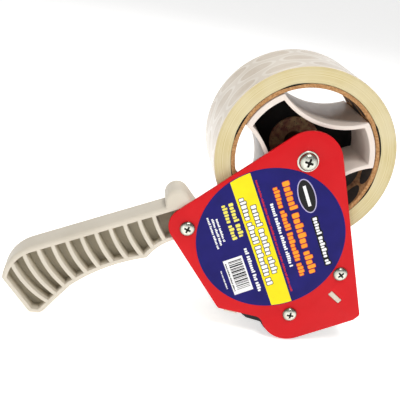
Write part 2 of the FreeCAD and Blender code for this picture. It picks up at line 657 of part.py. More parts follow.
# ---------------------------------------------------------------- nose bracket, rollers
def cheek_outline():
    """Edge of the bracket's two cheeks, seen along the hub axis."""
    press = (size["press_x"], size["press_z"])
    guide = (size["guide_x"], size["guide_z"])
    set_back = size["cheek_set_back"]
    nose = (size["plate_nose_x"] - set_back, size["plate_nose_z"] + set_back)
    chin = (nose[0] - size["plate_chin_x"], nose[1] - size["plate_chin_x"])
    stop = roller_stop() - size["cheek_stop"]
    rear = size["web_x"]
    behind_turn = size["cheek_behind"]
    corner = (press[0] - size["cheek_corner_x"], press[1] - size["cheek_corner_z"])
    foot = (rear + size["cheek_foot"], size["web_foot_z"] - size["cheek_foot"])
    round_guide = size["guide_round"] + size["cheek_guide"]
    top_turn, front_turn = size["cheek_top_turn"], size["cheek_front_turn"]
    top = polar(top_turn, round_guide, guide)
    front = polar(front_turn, round_guide, guide)
    under = tangent_from(chin, press, stop, -1)
    under_turn = math.degrees(math.atan2(under[1] - press[1], under[0] - press[0])) % 360
    behind = polar(behind_turn, stop, press)
    return [
        line((rear, size["web_top_z"]), top),
        arc(top, polar((top_turn + front_turn) / 2, round_guide, guide), front),
        line(front, nose),
        line(nose, chin),
        line(chin, under),
        arc(under, polar((under_turn + behind_turn) / 2, stop, press), behind),
        line(behind, corner),
        line(corner, foot),
        line(foot, (rear, size["web_foot_z"])),
        line((rear, size["web_foot_z"]), (rear, size["web_top_z"])),
    ]


def make_bracket():
    body = doc.addObject("PartDesign::Body", "nose_bracket_body")
    blank = sketch_on(body, "bracket_edge", "XZ_Plane", cheek_outline(), "-%s" % CHEEK_AT)
    pad(body, blank, "%s - %s" % (FAR_FACE, CHEEK_AT))
    near, far = eval_cell(ROOM_AT), eval_cell(ROOM_END)
    left = size["web_x"] + size["sheet_thick"]
    past_nose = size["plate_nose_x"] + size["sheet_thick"]
    room = sketch_on(body, "bracket_room", "XY_Plane",
                     polygon([(left, near), (past_nose, near), (past_nose, far), (left, far)]))
    hollow = body.newObject("PartDesign::Pocket", "bracket_room_cut")
    hollow.Profile = room
    hollow.Midplane = True
    hollow.Length = 4 * abs(size["plate_nose_z"])
    body.Tip = hollow
    holes = sketch_on(body, "bracket_holes", "XZ_Plane", slot_outline())
    for name in ("press", "guide"):
        hold_circle(holes, "dims.%s_x" % name, "dims.%s_z" % name, HOLE)
    hold_circle(holes, "dims.flap_x", "dims.flap_z", "dims.flap_pin")
    pocket(body, holes, "%s + 1" % FAR_FACE)
    web = sketch_on(body, "web_holes", "YZ_Plane", [])
    for height in ARM_SCREW_HEIGHTS:
        hold_circle(web, ARM_MIDDLE, height, HOLE)
    drilled = body.newObject("PartDesign::Pocket", "web_holes_cut")
    drilled.Profile = web
    drilled.Midplane = True
    drilled.Length = 2 * abs(size["web_x"]) + 20
    body.Tip = drilled
    node(body, "nose_bracket")


def make_axle_rod(label, name):
    """A roller axle between the cheeks, threaded at both ends."""
    place = ("dims.%s_x" % name, "dims.%s_z" % name)
    body = rod(label + "_body", "dims.%s_axle" % name, ROOM_AT, ROOM_WIDE, *place)
    near = rod(label + "_near_thread", THREAD, "%s - 1" % ROOM_AT, "dims.screw_long", *place)
    far_start = "%s + 1 - dims.screw_long" % ROOM_END
    far = rod(label + "_far_thread", THREAD, far_start, "dims.screw_long", *place)
    node(cut(label + "_bar", body, fuse(label + "_threads", [near, far])), label)


def make_rollers():
    press = ("dims.press_x", "dims.press_z")
    inner = "dims.press_round - dims.press_rubber"
    tube("press_roller_core", inner, "dims.press_axle + dims.running_gap", ROLLER_AT,
         ROLLER_WIDE, *press)
    tube("press_roller_sleeve", "dims.press_round", inner, ROLLER_AT, ROLLER_WIDE, *press)
    make_axle_rod("press_roller_axle", "press")
    place = ("dims.guide_x", "dims.guide_z")
    body = rod("guide_body", "dims.guide_round", ROLLER_AT, ROLLER_WIDE, *place)
    bore = rod("guide_bore", "dims.guide_axle + dims.running_gap", "%s - 1" % ROLLER_AT,
               "%s + 2" % ROLLER_WIDE, *place)
    rings = []
    for i in range(int(size["guide_grooves"])):
        share = "%s * %d / (dims.guide_grooves + 1)" % (ROLLER_WIDE, i + 1)
        at = "(%s + %s - dims.guide_groove_wide / 2)" % (ROLLER_AT, share)
        wide = rod("guide_ring_%d" % i, "dims.guide_round + 1", at, "dims.guide_groove_wide", *place)
        keep = rod("guide_keep_%d" % i, "dims.guide_round - dims.guide_groove", "%s - 1" % at,
                   "dims.guide_groove_wide + 2", *place)
        rings.append(cut("guide_groove_%d" % i, wide, keep))
    node(cut("guide_roller_body", body, fuse("guide_cuts", [bore] + rings)), "guide_roller")
    make_axle_rod("guide_roller_axle", "guide")


# ---------------------------------------------------------------- blade, its holder and the flap
def slanted(along, across):
    """A point on the blade holder's own axes: along its slope, and up from its middle."""
    slope = math.radians(size["nose_slope"])
    return (size["slot_x"] + along * math.cos(slope) + across * math.sin(slope),
            size["slot_z"] - along * math.sin(slope) + across * math.cos(slope))


def slanted_box(along, across):
    return polygon([slanted(along[0], across[0]), slanted(along[1], across[0]),
                    slanted(along[1], across[1]), slanted(along[0], across[1])])


def holder_half():
    """Half the thickness of the blade holder, across its slope."""
    return size["slot_wide"] / 2 - size["tab_gap"]


def on_slope(along, y, across):
    x, z = slanted(along, across)
    return Vector(x, y, z)


def rivet_places():
    """Where the rivets go along the hub axis."""
    near = eval_cell(TAPE_AT)
    return [near + share * size["tape_width"] for share in (0.12, 0.5, 0.88)]


def across_slope(radius, y, low, high):
    """A cylinder square to the slope, at a rivet's place."""
    up = on_slope(0, 0, 1) - on_slope(0, 0, 0)
    return Part.makeCylinder(radius, high - low, on_slope(size["rivet_ahead"], y, low), up)


def make_blade_holder():
    body = doc.addObject("PartDesign::Body", "blade_holder_body")
    half = holder_half()
    bed = sketch_on(body, "holder_bed", "XZ_Plane",
                    slanted_box((-size["holder_rear"], size["holder_front"]), (-half, half)),
                    "-(%s + dims.holder_end_gap)" % ROOM_AT)
    pad(body, bed, "%s - 2 * dims.holder_end_gap" % ROOM_WIDE)
    tabs = sketch_on(body, "holder_tabs", "XZ_Plane", slot_outline(size["tab_gap"]),
                     "-dims.holder_tab_back")
    pad(body, tabs, "%s - dims.holder_tab_back + dims.sheet_thick" % ROOM_END)
    drill = doc.addObject("Part::Feature", "holder_drill")
    bore = size["rivet_round"] + size["rivet_gap"]
    drill.Shape = Part.makeCompound([across_slope(bore, y, -half - 1, half + 1) for y in rivet_places()])
    node(cut("blade_holder_drilled", body, drill), "blade_holder")


def make_blade():
    """A flat strip with a toothed front edge, on the upper face of its holder."""
    near, far = eval_cell(TAPE_AT), eval_cell(TAPE_END)
    base = holder_half()
    teeth = int(round((far - near) / size["tooth_pitch"]))
    pitch = (far - near) / teeth
    root = size["blade_reach"] - size["tooth_deep"]
    points = [(size["blade_back"], near)]
    for i in range(teeth):
        points.append((root, near + i * pitch))
        points.append((size["blade_reach"], near + (i + 0.5) * pitch))
    points.append((root, far))
    points.append((size["blade_back"], far))
    ring = [on_slope(along, y, base) for along, y in points]
    face = Part.Face(Part.makePolygon(ring + ring[:1]))
    lift = on_slope(0, 0, size["blade_thick"]) - on_slope(0, 0, 0)
    bore = size["rivet_round"] + size["rivet_gap"]
    holes = [across_slope(bore, y, base - 1, base + size["blade_thick"] + 1) for y in rivet_places()]
    strip = doc.addObject("Part::Feature", "blade_strip")
    strip.Shape = face.extrude(lift).cut(holes)
    group("blade", [strip])


def make_blade_rivets():
    """Rivets through the blade and its holder, with a low head at each end."""
    half = holder_half()
    top = half + size["blade_thick"]
    high = size["rivet_head_high"]
    up = on_slope(0, 0, 1) - on_slope(0, 0, 0)
    rivets = []
    for i, y in enumerate(rivet_places()):
        shank = across_slope(size["rivet_round"], y, -half - high / 2, top + high / 2)
        heads = [Part.makeCone(size["rivet_head"], size["rivet_round"], high,
                               on_slope(size["rivet_ahead"], y, level), up * way)
                 for level, way in ((top, 1), (-half, -1))]
        thing = doc.addObject("Part::Feature", "blade_rivet_%d" % i)
        thing.Shape = shank.fuse(heads).removeSplitter()
        rivets.append(thing)
    group("blade_rivets", rivets)


def make_flap():
    """A thin lip on a pin, which keeps the tape's end on the blade."""
    pin = rod("flap_pin_rod", "dims.flap_pin - dims.face_gap", CHEEK_AT, "%s - %s" % (FAR_FACE, CHEEK_AT),
              "dims.flap_x", "dims.flap_z")
    group("flap_pin", [pin])
    start = "(%s + dims.flap_side_gap)" % ROOM_AT
    long = "(%s - 3 * dims.flap_side_gap - dims.flap_coil_long)" % ROOM_WIDE
    body = doc.addObject("PartDesign::Body", "tape_flap_body")
    ring = sketch_on(body, "flap_barrel_ring", "XZ_Plane", [], "-%s" % start)
    hold_circle(ring, "dims.flap_x", "dims.flap_z", "dims.flap_barrel")
    pad(body, ring, long)
    lean = math.radians(size["flap_lean"])
    run = (math.sin(lean), -math.cos(lean))
    side = (math.cos(lean), math.sin(lean))
    pivot = (size["flap_x"], size["flap_z"])
    inner = size["flap_barrel"] - size["flap_thick"]

    def at(along, across):
        return (pivot[0] + along * run[0] + across * side[0], pivot[1] + along * run[1] + across * side[1])

    lip = size["flap_long"]
    leaf = sketch_on(body, "flap_leaf", "XZ_Plane",
                     polygon([at(0, inner), at(lip, inner), at(lip, size["flap_barrel"]),
                              at(0, size["flap_barrel"])]), "-%s" % start)
    pad(body, leaf, long)
    bore = sketch_on(body, "flap_bore", "XZ_Plane", [], "-(%s - 1)" % start)
    hold_circle(bore, "dims.flap_x", "dims.flap_z", "dims.flap_pin + dims.running_gap - dims.face_gap")
    pocket(body, bore, "%s + 2" % long)
    node(body, "tape_flap")
    wire = size["flap_wire"]
    coil = size["flap_pin"] + size["flap_coil_gap"] + wire
    begin = eval_cell("%s + %s" % (start, long)) + size["flap_coil_end"] + wire
    coil_spring("flap_spring", coil, wire, size["flap_pitch"],
                size["flap_coil_long"] - 2 * size["flap_coil_end"] - 2 * wire,
                Vector(size["flap_x"], begin, size["flap_z"]))


# ---------------------------------------------------------------- handle
def plate_sole(x):
    """Height of the handle's foot, just below the plate's lower edge."""
    slope = math.radians(size["plate_sole"])
    drop = (size["arm_peek"] + size["plate_heel_round"]) / math.cos(slope)
    return size["plate_heel_z"] - drop - (x - size["plate_heel_x"]) * math.tan(slope)


def handle_outline():
    """Grip, thumb horn and arm as one closed outline, clockwise from the grip's rear top."""
    horn = (size["horn_x"], size["horn_z"])
    horn_left = (horn[0] - size["horn_round"], horn[1])
    neck_top = (horn_left[0], horn[1] - size["horn_drop"])
    horn_turn = 90 - size["horn_slope"]
    horn_front = polar(horn_turn, size["horn_round"], horn)
    flank = polar(-size["horn_slope"], size["horn_flank"], horn_front)
    clear = size["roll_round"] + size["arm_clear"]
    arm_start = (-math.sqrt(clear ** 2 - flank[1] ** 2), flank[1])
    arm_end = (size["web_x"], -math.sqrt(clear ** 2 - size["web_x"] ** 2))
    arm_turns = [math.degrees(math.atan2(p[1], p[0])) % 360 for p in (arm_start, arm_end)]
    foot = (size["web_x"], plate_sole(size["web_x"]))
    toe_x = size["plate_heel_x"] + size["toe_foot"]
    toe = (toe_x, plate_sole(toe_x))
    shin = (size["plate_heel_x"] - size["shin_back"], size["plate_heel_z"] + size["shin_up"])
    under = (size["under_x"], size["under_z"])
    knuckle = (size["knuckle_x"], size["knuckle_z"])
    tip_front = (size["tip_x"], size["tip_z"])
    palm = (tip_front[0] + size["palm_ahead"], tip_front[1] + size["palm_above"])
    tip_curve = (tip_front[0] + size["toe_ahead"], tip_front[1] + size["toe_above"])
    lift = math.radians(stance_angle())
    flat = size["tip_flat"]
    tip_rear = (tip_front[0] - flat * math.cos(lift), tip_front[1] + flat * math.sin(lift))
    butt_low = (tip_rear[0] - size["butt_corner"], tip_rear[1] + size["butt_corner"])
    butt_high = (butt_low[0] - size["butt_run"], butt_low[1] + size["butt_rise"])
    rear_x = tip_front[0] - size["butt_back"]
    fall = (neck_top[0] - rear_x) * math.tan(math.radians(size["grip_slope"]))
    rear_top = (rear_x, neck_top[1] - fall)
    return [
        line(rear_top, neck_top),
        line(neck_top, horn_left),
        arc(horn_left, polar((180 + horn_turn) / 2, size["horn_round"], horn), horn_front),
        line(horn_front, flank),
        line(flank, arm_start),
        arc(arm_start, polar(sum(arm_turns) / 2, clear), arm_end),
        line(arm_end, foot),
        line(foot, toe),
        line(toe, shin),
        line(shin, under),
        bowed(under, knuckle, -size["knuckle_bow"]),
        bowed(knuckle, palm, -size["finger_bow"]),
        line(palm, tip_curve),
        bowed(tip_curve, tip_front, size["toe_bow"]),
        line(tip_front, tip_rear),
        line(tip_rear, butt_low),
        line(butt_low, butt_high),
        bowed(butt_high, rear_top, size["butt_bow"]),
    ]


def stance_angle():
    """How far the ground line, from the handle tip to the press roller, falls to the front."""
    tip = (size["tip_x"], size["tip_z"])
    press = (size["press_x"], size["press_z"])
    reach = math.dist(tip, press)
    fall = math.atan2(tip[1] - press[1], press[0] - tip[0])
    return math.degrees(fall + math.asin(size["press_round"] / reach))


def prism(name, sketch, start, length):
    """An outline pulled along +Y from a given place."""
    thing = doc.addObject("Part::Extrusion", name)
    thing.Base = sketch
    thing.DirMode = "Custom"
    thing.Dir = Vector(0, 1, 0)
    thing.Solid = True
    bind(thing, LengthFwd=length, Placement__Base__y=start)
    return thing


def free_sketch(name, geometry):
    """A sketch on the XZ plane that belongs to no body."""
    sketch = doc.addObject("Sketcher::SketchObject", name)
    sketch.Placement = Placement(Vector(), Rotation(Vector(1, 0, 0), 90))
    for piece in geometry:
        sketch.addGeometry(piece, False)
    return sketch


def grip_rib(index):
    """One bowed rib, long enough to reach past both walls of the grip."""
    steps = size["grip_ribs"] - 1 - index
    first = (size["rib_first_x"], size["rib_first_z"])
    top = polar(180 + size["grip_slope"], steps * size["rib_pitch"], first)
    lean = -(size["rib_lean"] + index * size["rib_fan"])
    above = size["rib_above"]
    long = size["rib_long"]
    start = polar(lean + 180, above, top)
    end = polar(lean, long - above, top)
    half = size["rib_thick"] / 2
    across = polar(lean - 90, 1.0)

    def shifted(point, by):
        return (point[0] + across[0] * by, point[1] + across[1] * by)

    bow = -size["rib_bow"]
    return [bowed(shifted(start, half), shifted(end, half), bow),
            line(shifted(end, half), shifted(end, -half)),
            bowed(shifted(end, -half), shifted(start, -half), -bow),
            line(shifted(start, -half), shifted(start, half))]


def horn_face():
    """The thumb horn above the underside of the grip's top wall, which is moulded solid."""
    slope = math.radians(size["grip_slope"])
    back = size["horn_x"] - size["horn_round"]
    ahead = back + size["horn_solid"]
    top = size["horn_z"] + size["horn_round"]
    low = size["horn_z"] - size["horn_drop"] - size["handle_wall"] / math.cos(slope)
    rise = size["horn_solid"] * math.tan(slope)
    return polygon([(back, low), (ahead, low + rise), (ahead, top), (back, top)])


def arm_ribs():
    """Straight ribs across the arm, pointing at the hub axis."""
    edges = []
    near = size["roll_round"]
    heel = (size["plate_heel_x"], size["plate_heel_z"])
    far = math.dist((0, 0), heel) + 2 * size["handle_wall"]
    for i in range(int(size["arm_ribs"])):
        turn = size["arm_rib_turn"] + i * size["arm_rib_step"]
        inner, outer = polar(turn, near), polar(turn, far)
        side = polar(turn + 90, size["arm_rib"] / 2)
        edges += polygon([(inner[0] - side[0], inner[1] - side[1]),
                          (outer[0] - side[0], outer[1] - side[1]),
                          (outer[0] + side[0], outer[1] + side[1]),
                          (inner[0] + side[0], inner[1] + side[1])])
    return edges


def box_edges(x0, x1, z0, z1):
    return polygon([(x0, z0), (x1, z0), (x1, z1), (x0, z1)])


def grip_edges(hollow, outline):
    """Numbers of the edges on the grip's outside, at its near and far faces."""
    found = []
    for i, edge in enumerate(hollow.Shape.Edges, start=1):
        box = edge.BoundBox
        if box.YLength > 1e-6 or box.XMax > size["horn_x"]:
            continue
        middle = edge.valueAt((edge.FirstParameter + edge.LastParameter) / 2)
        if outline.Shape.distToShape(Part.Vertex(Vector(middle.x, 0, middle.z)))[0] < 1e-3:
            found.append(i)
    return found


def make_handle():
    outline = free_sketch("handle_edge", handle_outline())
    blank = prism("handle_blank", outline, "dims.plate_thick", "dims.handle_deep")
    inset = doc.addObject("Part::Offset2D", "handle_inset")
    inset.Source = outline
    inset.Join = 0
    bind(inset, Value="-dims.handle_wall")
    deep = "((dims.handle_deep - dims.handle_web) / 2)"
    ribs = []
    for index in range(int(size["grip_ribs"])):
        ribs.append(free_sketch("grip_rib_%d" % index, grip_rib(index)))
    ribs.append(free_sketch("arm_rib_edges", arm_ribs()))
    ribs.append(free_sketch("horn_face_edges", horn_face()))
    block_low = size["arm_screw_z"] - size["arm_screw_step"] - size["arm_block_edge"]
    block_top = size["arm_screw_z"] + size["arm_block_edge"]
    block = box_edges(size["web_x"] - size["arm_block"], size["web_x"] + 1, block_low, block_top)
    ribs.append(free_sketch("arm_block_edges", block))
    rooms = []
    for side, start in (("near", "dims.plate_thick"),
                        ("far", "(dims.plate_thick + dims.handle_deep - %s)" % deep)):
        room = prism("handle_room_" + side, inset, start, deep)
        keep = [prism("%s_%s" % (rib.Name, side), rib, start, deep) for rib in ribs]
        keep.append(rod("handle_boss_" + side, "dims.handle_boss", start, deep,
                        "dims.handle_x", "dims.handle_z"))
        rooms.append(cut("handle_cells_" + side, room, fuse("handle_keep_" + side, keep)))
    bores = [rod("handle_insert_hole", "%s + dims.insert_wall + dims.insert_gap" % THREAD,
                 "dims.plate_thick - 1", "dims.screw_long + 2", "dims.handle_x", "dims.handle_z")]
    for i, height in enumerate(ARM_SCREW_HEIGHTS):
        hole = doc.addObject("Part::Cylinder", "arm_screw_hole_%d" % i)
        hole.Placement = Placement(Vector(), Rotation(Vector(0, 1, 0), 90))
        bind(hole, Radius=THREAD, Height="dims.screw_long + 1",
             Placement__Base__x="dims.web_x - dims.screw_long",
             Placement__Base__y=ARM_MIDDLE, Placement__Base__z=height)
        bores.append(hole)
    hollow = cut("handle_body", blank, fuse("handle_cuts", rooms + bores))
    doc.recompute()
    soft = doc.addObject("Part::Fillet", "handle_soft")
    soft.Base = hollow
    soft.Edges = [(i, size["handle_edge"], size["handle_edge"]) for i in grip_edges(hollow, outline)]
    node(soft, "handle")
    tube("handle_insert", "%s + dims.insert_wall" % THREAD, THREAD, "(dims.plate_thick + dims.insert_sunk)",
         "dims.insert_long", "dims.handle_x", "dims.handle_z")


# ---------------------------------------------------------------- the whole dispenser
make_side_plate()
make_label()
make_handle()
make_bracket()
make_screws()
make_axle()
make_spring()
make_knob()
make_hub()
make_tape()
make_rollers()
make_blade_holder()
make_blade()
make_blade_rivets()
make_flap()
doc.recompute()

for thing in doc.Objects:
    if "Invalid" in thing.State or "Error" in thing.State:
        raise RuntimeError("%s did not rebuild: %s" % (thing.Label, thing.State))

# the dispenser rests on its press roller and on the flat of its handle tip
tilt = Rotation(Vector(0, -1, 0), stance_angle())
for piece in NODES:
    piece.Placement = Placement(Vector(), tilt)
doc.recompute()
span = FreeCAD.BoundBox()
for piece in NODES:
    span.add(piece.Shape.optimalBoundingBox(False, False))
home = Vector(-(span.XMin + span.XMax) / 2, -(span.YMin + span.YMax) / 2, -span.ZMin)
for piece in NODES:
    piece.Placement = Placement(home, tilt)
doc.recompute()

os.makedirs("parts", exist_ok=True)
for piece in NODES:
    if piece.Shape.isNull() or not piece.Shape.isValid() or not piece.Shape.Solids:
        raise RuntimeError("%s has no valid solid" % piece.Label)
    piece.Shape.exportStep(os.path.join("parts", piece.Label + ".step"))
    print("%-22s %2d solids %10.1f mm3" % (piece.Label, len(piece.Shape.Solids), piece.Shape.Volume))
print("tilt %.3f deg, home %.3f %.3f %.3f" % (stance_angle(), home.x, home.y, home.z))
print("size %.2f x %.2f x %.2f mm" % (span.XLength, span.YLength, span.ZLength))
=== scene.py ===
"""Finishes, print and fine detail of the packing tape dispenser."""
import json
import math
import random

import bmesh
import bpy
from mathutils import Matrix, Vector


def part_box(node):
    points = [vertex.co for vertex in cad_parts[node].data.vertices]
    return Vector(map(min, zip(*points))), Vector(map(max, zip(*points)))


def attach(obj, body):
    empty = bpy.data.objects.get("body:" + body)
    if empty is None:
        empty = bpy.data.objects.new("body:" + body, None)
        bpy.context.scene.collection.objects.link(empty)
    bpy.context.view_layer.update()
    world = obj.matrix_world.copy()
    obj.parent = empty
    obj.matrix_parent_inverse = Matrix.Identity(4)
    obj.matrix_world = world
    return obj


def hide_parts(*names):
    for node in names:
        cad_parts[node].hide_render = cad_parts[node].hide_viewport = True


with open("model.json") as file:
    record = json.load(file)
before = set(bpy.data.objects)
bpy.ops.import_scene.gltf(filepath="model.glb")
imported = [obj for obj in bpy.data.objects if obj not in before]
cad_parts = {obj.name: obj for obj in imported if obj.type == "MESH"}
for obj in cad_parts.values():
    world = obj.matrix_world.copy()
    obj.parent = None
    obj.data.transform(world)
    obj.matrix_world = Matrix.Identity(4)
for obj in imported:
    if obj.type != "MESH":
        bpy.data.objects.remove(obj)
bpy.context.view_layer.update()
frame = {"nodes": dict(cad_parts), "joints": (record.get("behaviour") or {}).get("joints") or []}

NODES = frame["nodes"]
JOINTS = {joint["name"]: joint for joint in frame["joints"]}
MM = 0.001

# ---------- the side plate's own axes
# Work on the plate is laid out in millimetres on its own axes: x to the nose, z up,
# y away from the outer face, with the hub axis through x = z = 0.
PRESS_FROM_HUB = (-5.7, -92.1)
GUIDE_FROM_HUB = (22.1, -67.5)
HUB_AXIS = Vector(JOINTS["hub_spin"]["pos_m"])
PRESS_AXIS = Vector(JOINTS["press_roller_spin"]["pos_m"])
PLATE_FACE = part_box("side_plate")[0].y
PRESS_TURN = math.atan2(PRESS_FROM_HUB[1], PRESS_FROM_HUB[0])
STANDING_TURN = math.atan2(PRESS_AXIS.z - HUB_AXIS.z, PRESS_AXIS.x - HUB_AXIS.x)
TILT = STANDING_TURN - PRESS_TURN
LEAN = Matrix.Rotation(-TILT, 4, "Y")
ROW = Matrix.Translation((HUB_AXIS.x, PLATE_FACE, HUB_AXIS.z)) @ LEAN @ Matrix.Scale(MM, 4)


def depth(node, side):
    """How far a piece's near (0) or far (1) end lies from the plate's outer face, in mm."""
    return (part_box(node)[side].y - PLATE_FACE) / MM


def radius_of(node):
    """Radius of a round piece on an axis along y, in mm."""
    low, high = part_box(node)
    return (high.z - low.z) / 2 / MM


def on_plate(radius, turn, y, centre=(0.0, 0.0)):
    """A point of a circle about an axis along y, from the plate's axes to the scene."""
    return ROW @ Vector((centre[0] + radius * math.cos(turn), y, centre[1] + radius * math.sin(turn)))


def turns_of(sides):
    """Angles of a circle's points."""
    return [2 * math.pi * i / sides for i in range(sides)]


LABEL_CENTRE = (-18.05, -44.5)
LABEL_RADIUS = radius_of("label")
LABEL_FACE = depth("label", 0)
ROLL_NEAR, ROLL_FAR = depth("tape_roll", 0), depth("tape_roll", 1)
ROLL_RADIUS = radius_of("tape_roll")
CORE_RADIUS = radius_of("tape_core")
CORE_WALL = 2.3
# ovals printed on the core and showing through the film
OVALS_ROUND, OVALS_ACROSS = 12, 3
OVAL_PITCH = 2 * math.pi * ROLL_RADIUS / OVALS_ROUND
OVAL_ROW = (ROLL_FAR - ROLL_NEAR) / OVALS_ACROSS


# ---------- nodes and surfaces
def linear(hex_colour):
    """An sRGB hex colour as linear RGBA."""
    parts = [int(hex_colour[i:i + 2], 16) / 255 for i in (1, 3, 5)]
    return (*[p / 12.92 if p <= 0.04045 else ((p + 0.055) / 1.055) ** 2.4 for p in parts], 1.0)


def add(tree, kind, inputs=None, **settings):
    """Adds a node with its settings; inputs holds plain values or the sockets to link."""
    node = tree.nodes.new(kind)
    for name, value in settings.items():
        setattr(node, name, value)
    for name, value in (inputs or {}).items():
        if isinstance(value, bpy.types.NodeSocket):
            tree.links.new(value, node.inputs[name])
        else:
            node.inputs[name].default_value = value
    return node


# where a noise's patches begin and end to show
NOISE_LOW, NOISE_HIGH = 0.3, 0.7
# a colour mix node's inputs and output, which share their names with its other kinds
MIX_SHARE, MIX_UNDER, MIX_OVER, MIX_COLOUR = 0, 6, 7, 2


def surface(name, colour, roughness, **sockets):
    """A material with its shader's constants set, and the object's own coordinates."""
    made = bpy.data.materials.new(name)
    made.use_nodes = True
    tree = made.node_tree
    shader = tree.nodes["Principled BSDF"]
    shader.inputs["Base Color"].default_value = linear(colour)
    shader.inputs["Roughness"].default_value = roughness
    for socket, value in sockets.items():
        shader.inputs[socket.replace("_", " ")].default_value = value
    return made, tree, shader, add(tree, "ShaderNodeTexCoord").outputs["Object"]


def set_stops(tones, stops):
    """Gives a colour ramp its (place, hex) stops; returns its colour."""
    line = tones.color_ramp
    while len(line.elements) < len(stops):
        line.elements.new(0.5)
    for element, (place, shade) in zip(line.elements, stops):
        element.position, element.color = place, linear(shade)
    return tones.outputs["Color"]


def tint(tree, shader, spot, size_mm, shades, detail=2.0):
    """Colour that drifts through hex shades over patches of a given size; returns its socket."""
    patches = add(tree, "ShaderNodeTexNoise", {"Vector": spot, "Scale": 1 / (size_mm * MM),
                                               "Detail": detail})
    tones = add(tree, "ShaderNodeValToRGB", {"Fac": patches.outputs["Fac"]})
    colour = set_stops(tones, [(NOISE_LOW + (NOISE_HIGH - NOISE_LOW) * i / (len(shades) - 1), shade)
                               for i, shade in enumerate(shades)])
    tree.links.new(colour, shader.inputs["Base Color"])
    return colour


def overlay(tree, shader, base, cover, span, amounts, shade):
    """Lays a second colour over the base, from one amount to another as the cover crosses its span."""
    share = add(tree, "ShaderNodeMapRange", {
        "Value": cover, "From Min": span[0], "From Max": span[1],
        "To Min": amounts[0], "To Max": amounts[1]})
    blended = add(tree, "ShaderNodeMix", {
        MIX_SHARE: share.outputs["Result"], MIX_UNDER: base, MIX_OVER: linear(shade)}, data_type="RGBA")
    tree.links.new(blended.outputs[MIX_COLOUR], shader.inputs["Base Color"])


def wear(tree, shader, spot, size_mm, low, high):
    """Gloss that varies between two roughness values over patches of a given size."""
    patches = add(tree, "ShaderNodeTexNoise", {"Vector": spot, "Scale": 1 / (size_mm * MM), "Detail": 3.0})
    rub = add(tree, "ShaderNodeMapRange", {
        "Value": patches.outputs["Fac"], "From Min": NOISE_LOW, "From Max": NOISE_HIGH,
        "To Min": low, "To Max": high})
    tree.links.new(rub.outputs["Result"], shader.inputs["Roughness"])


def relief(tree, shader, spot, size_mm, depth_mm, strength=0.5, detail=2.0):
    """Small bumps of a given size and depth."""
    bumps = add(tree, "ShaderNodeTexNoise", {"Vector": spot, "Scale": 1 / (size_mm * MM), "Detail": detail})
    raised = add(tree, "ShaderNodeBump", {"Height": bumps.outputs["Fac"], "Distance": depth_mm * MM,
                                          "Strength": strength})
    tree.links.new(raised.outputs["Normal"], shader.inputs["Normal"])


# ---------- finishes
def coated(name, colour, roughness, tones, gloss, bumps, **sockets):
    """One colour that drifts: tones, gloss and bumps are what tint, wear and relief take."""
    made, tree, shader, spot = surface(name, colour, roughness, **sockets)
    tint(tree, shader, spot, *tones)
    if gloss:
        wear(tree, shader, spot, *gloss)
    relief(tree, shader, spot, *bumps)
    return made


def screen_ink(name, dark, light):
    """Screen-printed ink: flat opaque colour that drifts a shade, with a low satin sheen."""
    return coated(name, light, 0.38, (7.0, (dark, light)), (5.0, 0.34, 0.44), (2.0, 0.008, 0.3, 1.0),
                  Specular_IOR_Level=0.25)


def moulded(name, dark, light, grain_mm, low, high):
    """Injection-moulded plastic: warm drifting tone, spark-eroded grain and a satin sheen."""
    return coated(name, light, high, (26.0, (dark, light)), (6.0, low, high), (grain_mm, 0.03, 0.4))


def small_metal(name, dark, light, low, high):
    """Small bought-in metal parts: lightly tarnished, with a soft broken highlight."""
    return coated(name, light, high, (3.0, (dark, light)), (1.2, low, high), (0.5, 0.01, 0.3), Metallic=1.0)


def moulded_abs():
    """Moulded ivory-grey ABS: satin and warm, with painted shade that deepens into its pockets."""
    made, tree, shader, spot = surface("moulded_abs", "#D2C9B9", 0.5)
    base = tint(tree, shader, spot, 26.0, ("#CFC6B5", "#D9D0C0"))
    pocket = add(tree, "ShaderNodeAttribute", attribute_name="pocket").outputs["Fac"]
    # painted shade: olive-brown that darkens from the mouth of each pocket to the web
    overlay(tree, shader, base, pocket, (0.3, 1.0), (0.0, 0.62), "#7E7350")
    wear(tree, shader, spot, 6.0, 0.4, 0.52)
    relief(tree, shader, spot, 0.6, 0.03, 0.4)
    return made


def zinc_plate():
    """Bright zinc plate: pale metal with a greenish cast, and painted shade that darkens it towards the rim
    of each head.
    """
    made, tree, shader, spot = surface("zinc_plate", "#D0D2CA", 0.25, Metallic=1.0)
    base = tint(tree, shader, spot, 3.0, ("#C9CDC0", "#E2E1D6"))
    rim = add(tree, "ShaderNodeAttribute", attribute_name="rim").outputs["Fac"]
    # painted shade: greenish grey towards the rim of each head
    overlay(tree, shader, base, rim, (0.6, 1.0), (0.0, 0.9), "#6F7866")
    drawn = add(tree, "ShaderNodeMapping", {"Vector": spot, "Scale": (1.0, 1.0, 0.2)}).outputs[0]
    wear(tree, shader, drawn, 0.6, 0.18, 0.34)
    relief(tree, shader, spot, 0.5, 0.01, 0.3)
    return made


def turned_steel():
    """Turned and ground steel: grey metal with fine tool lines round its axis."""
    made, tree, shader, spot = surface("turned_steel", "#A6A8AA", 0.3, Metallic=1.0)
    lines = add(tree, "ShaderNodeMapping", {"Vector": spot, "Scale": (0.05, 1.0, 0.05)}).outputs[0]
    tint(tree, shader, spot, 6.0, ("#9C9EA0", "#B0B1B2"))
    wear(tree, shader, lines, 0.5, 0.22, 0.4)
    relief(tree, shader, lines, 0.5, 0.01, 0.4)
    return made


def hardened_strip():
    """Hardened steel strip: bright, brushed along its length, with a faint straw tint."""
    made, tree, shader, spot = surface("hardened_strip", "#B0B0AC", 0.24, Metallic=1.0)
    brushed = add(tree, "ShaderNodeMapping", {"Vector": spot, "Scale": (1.0, 0.04, 1.0)}).outputs[0]
    tint(tree, shader, spot, 7.0, ("#A2A4A6", "#BAB8B0"))
    wear(tree, shader, brushed, 0.4, 0.16, 0.32)
    relief(tree, shader, brushed, 0.4, 0.008, 0.4)
    return made


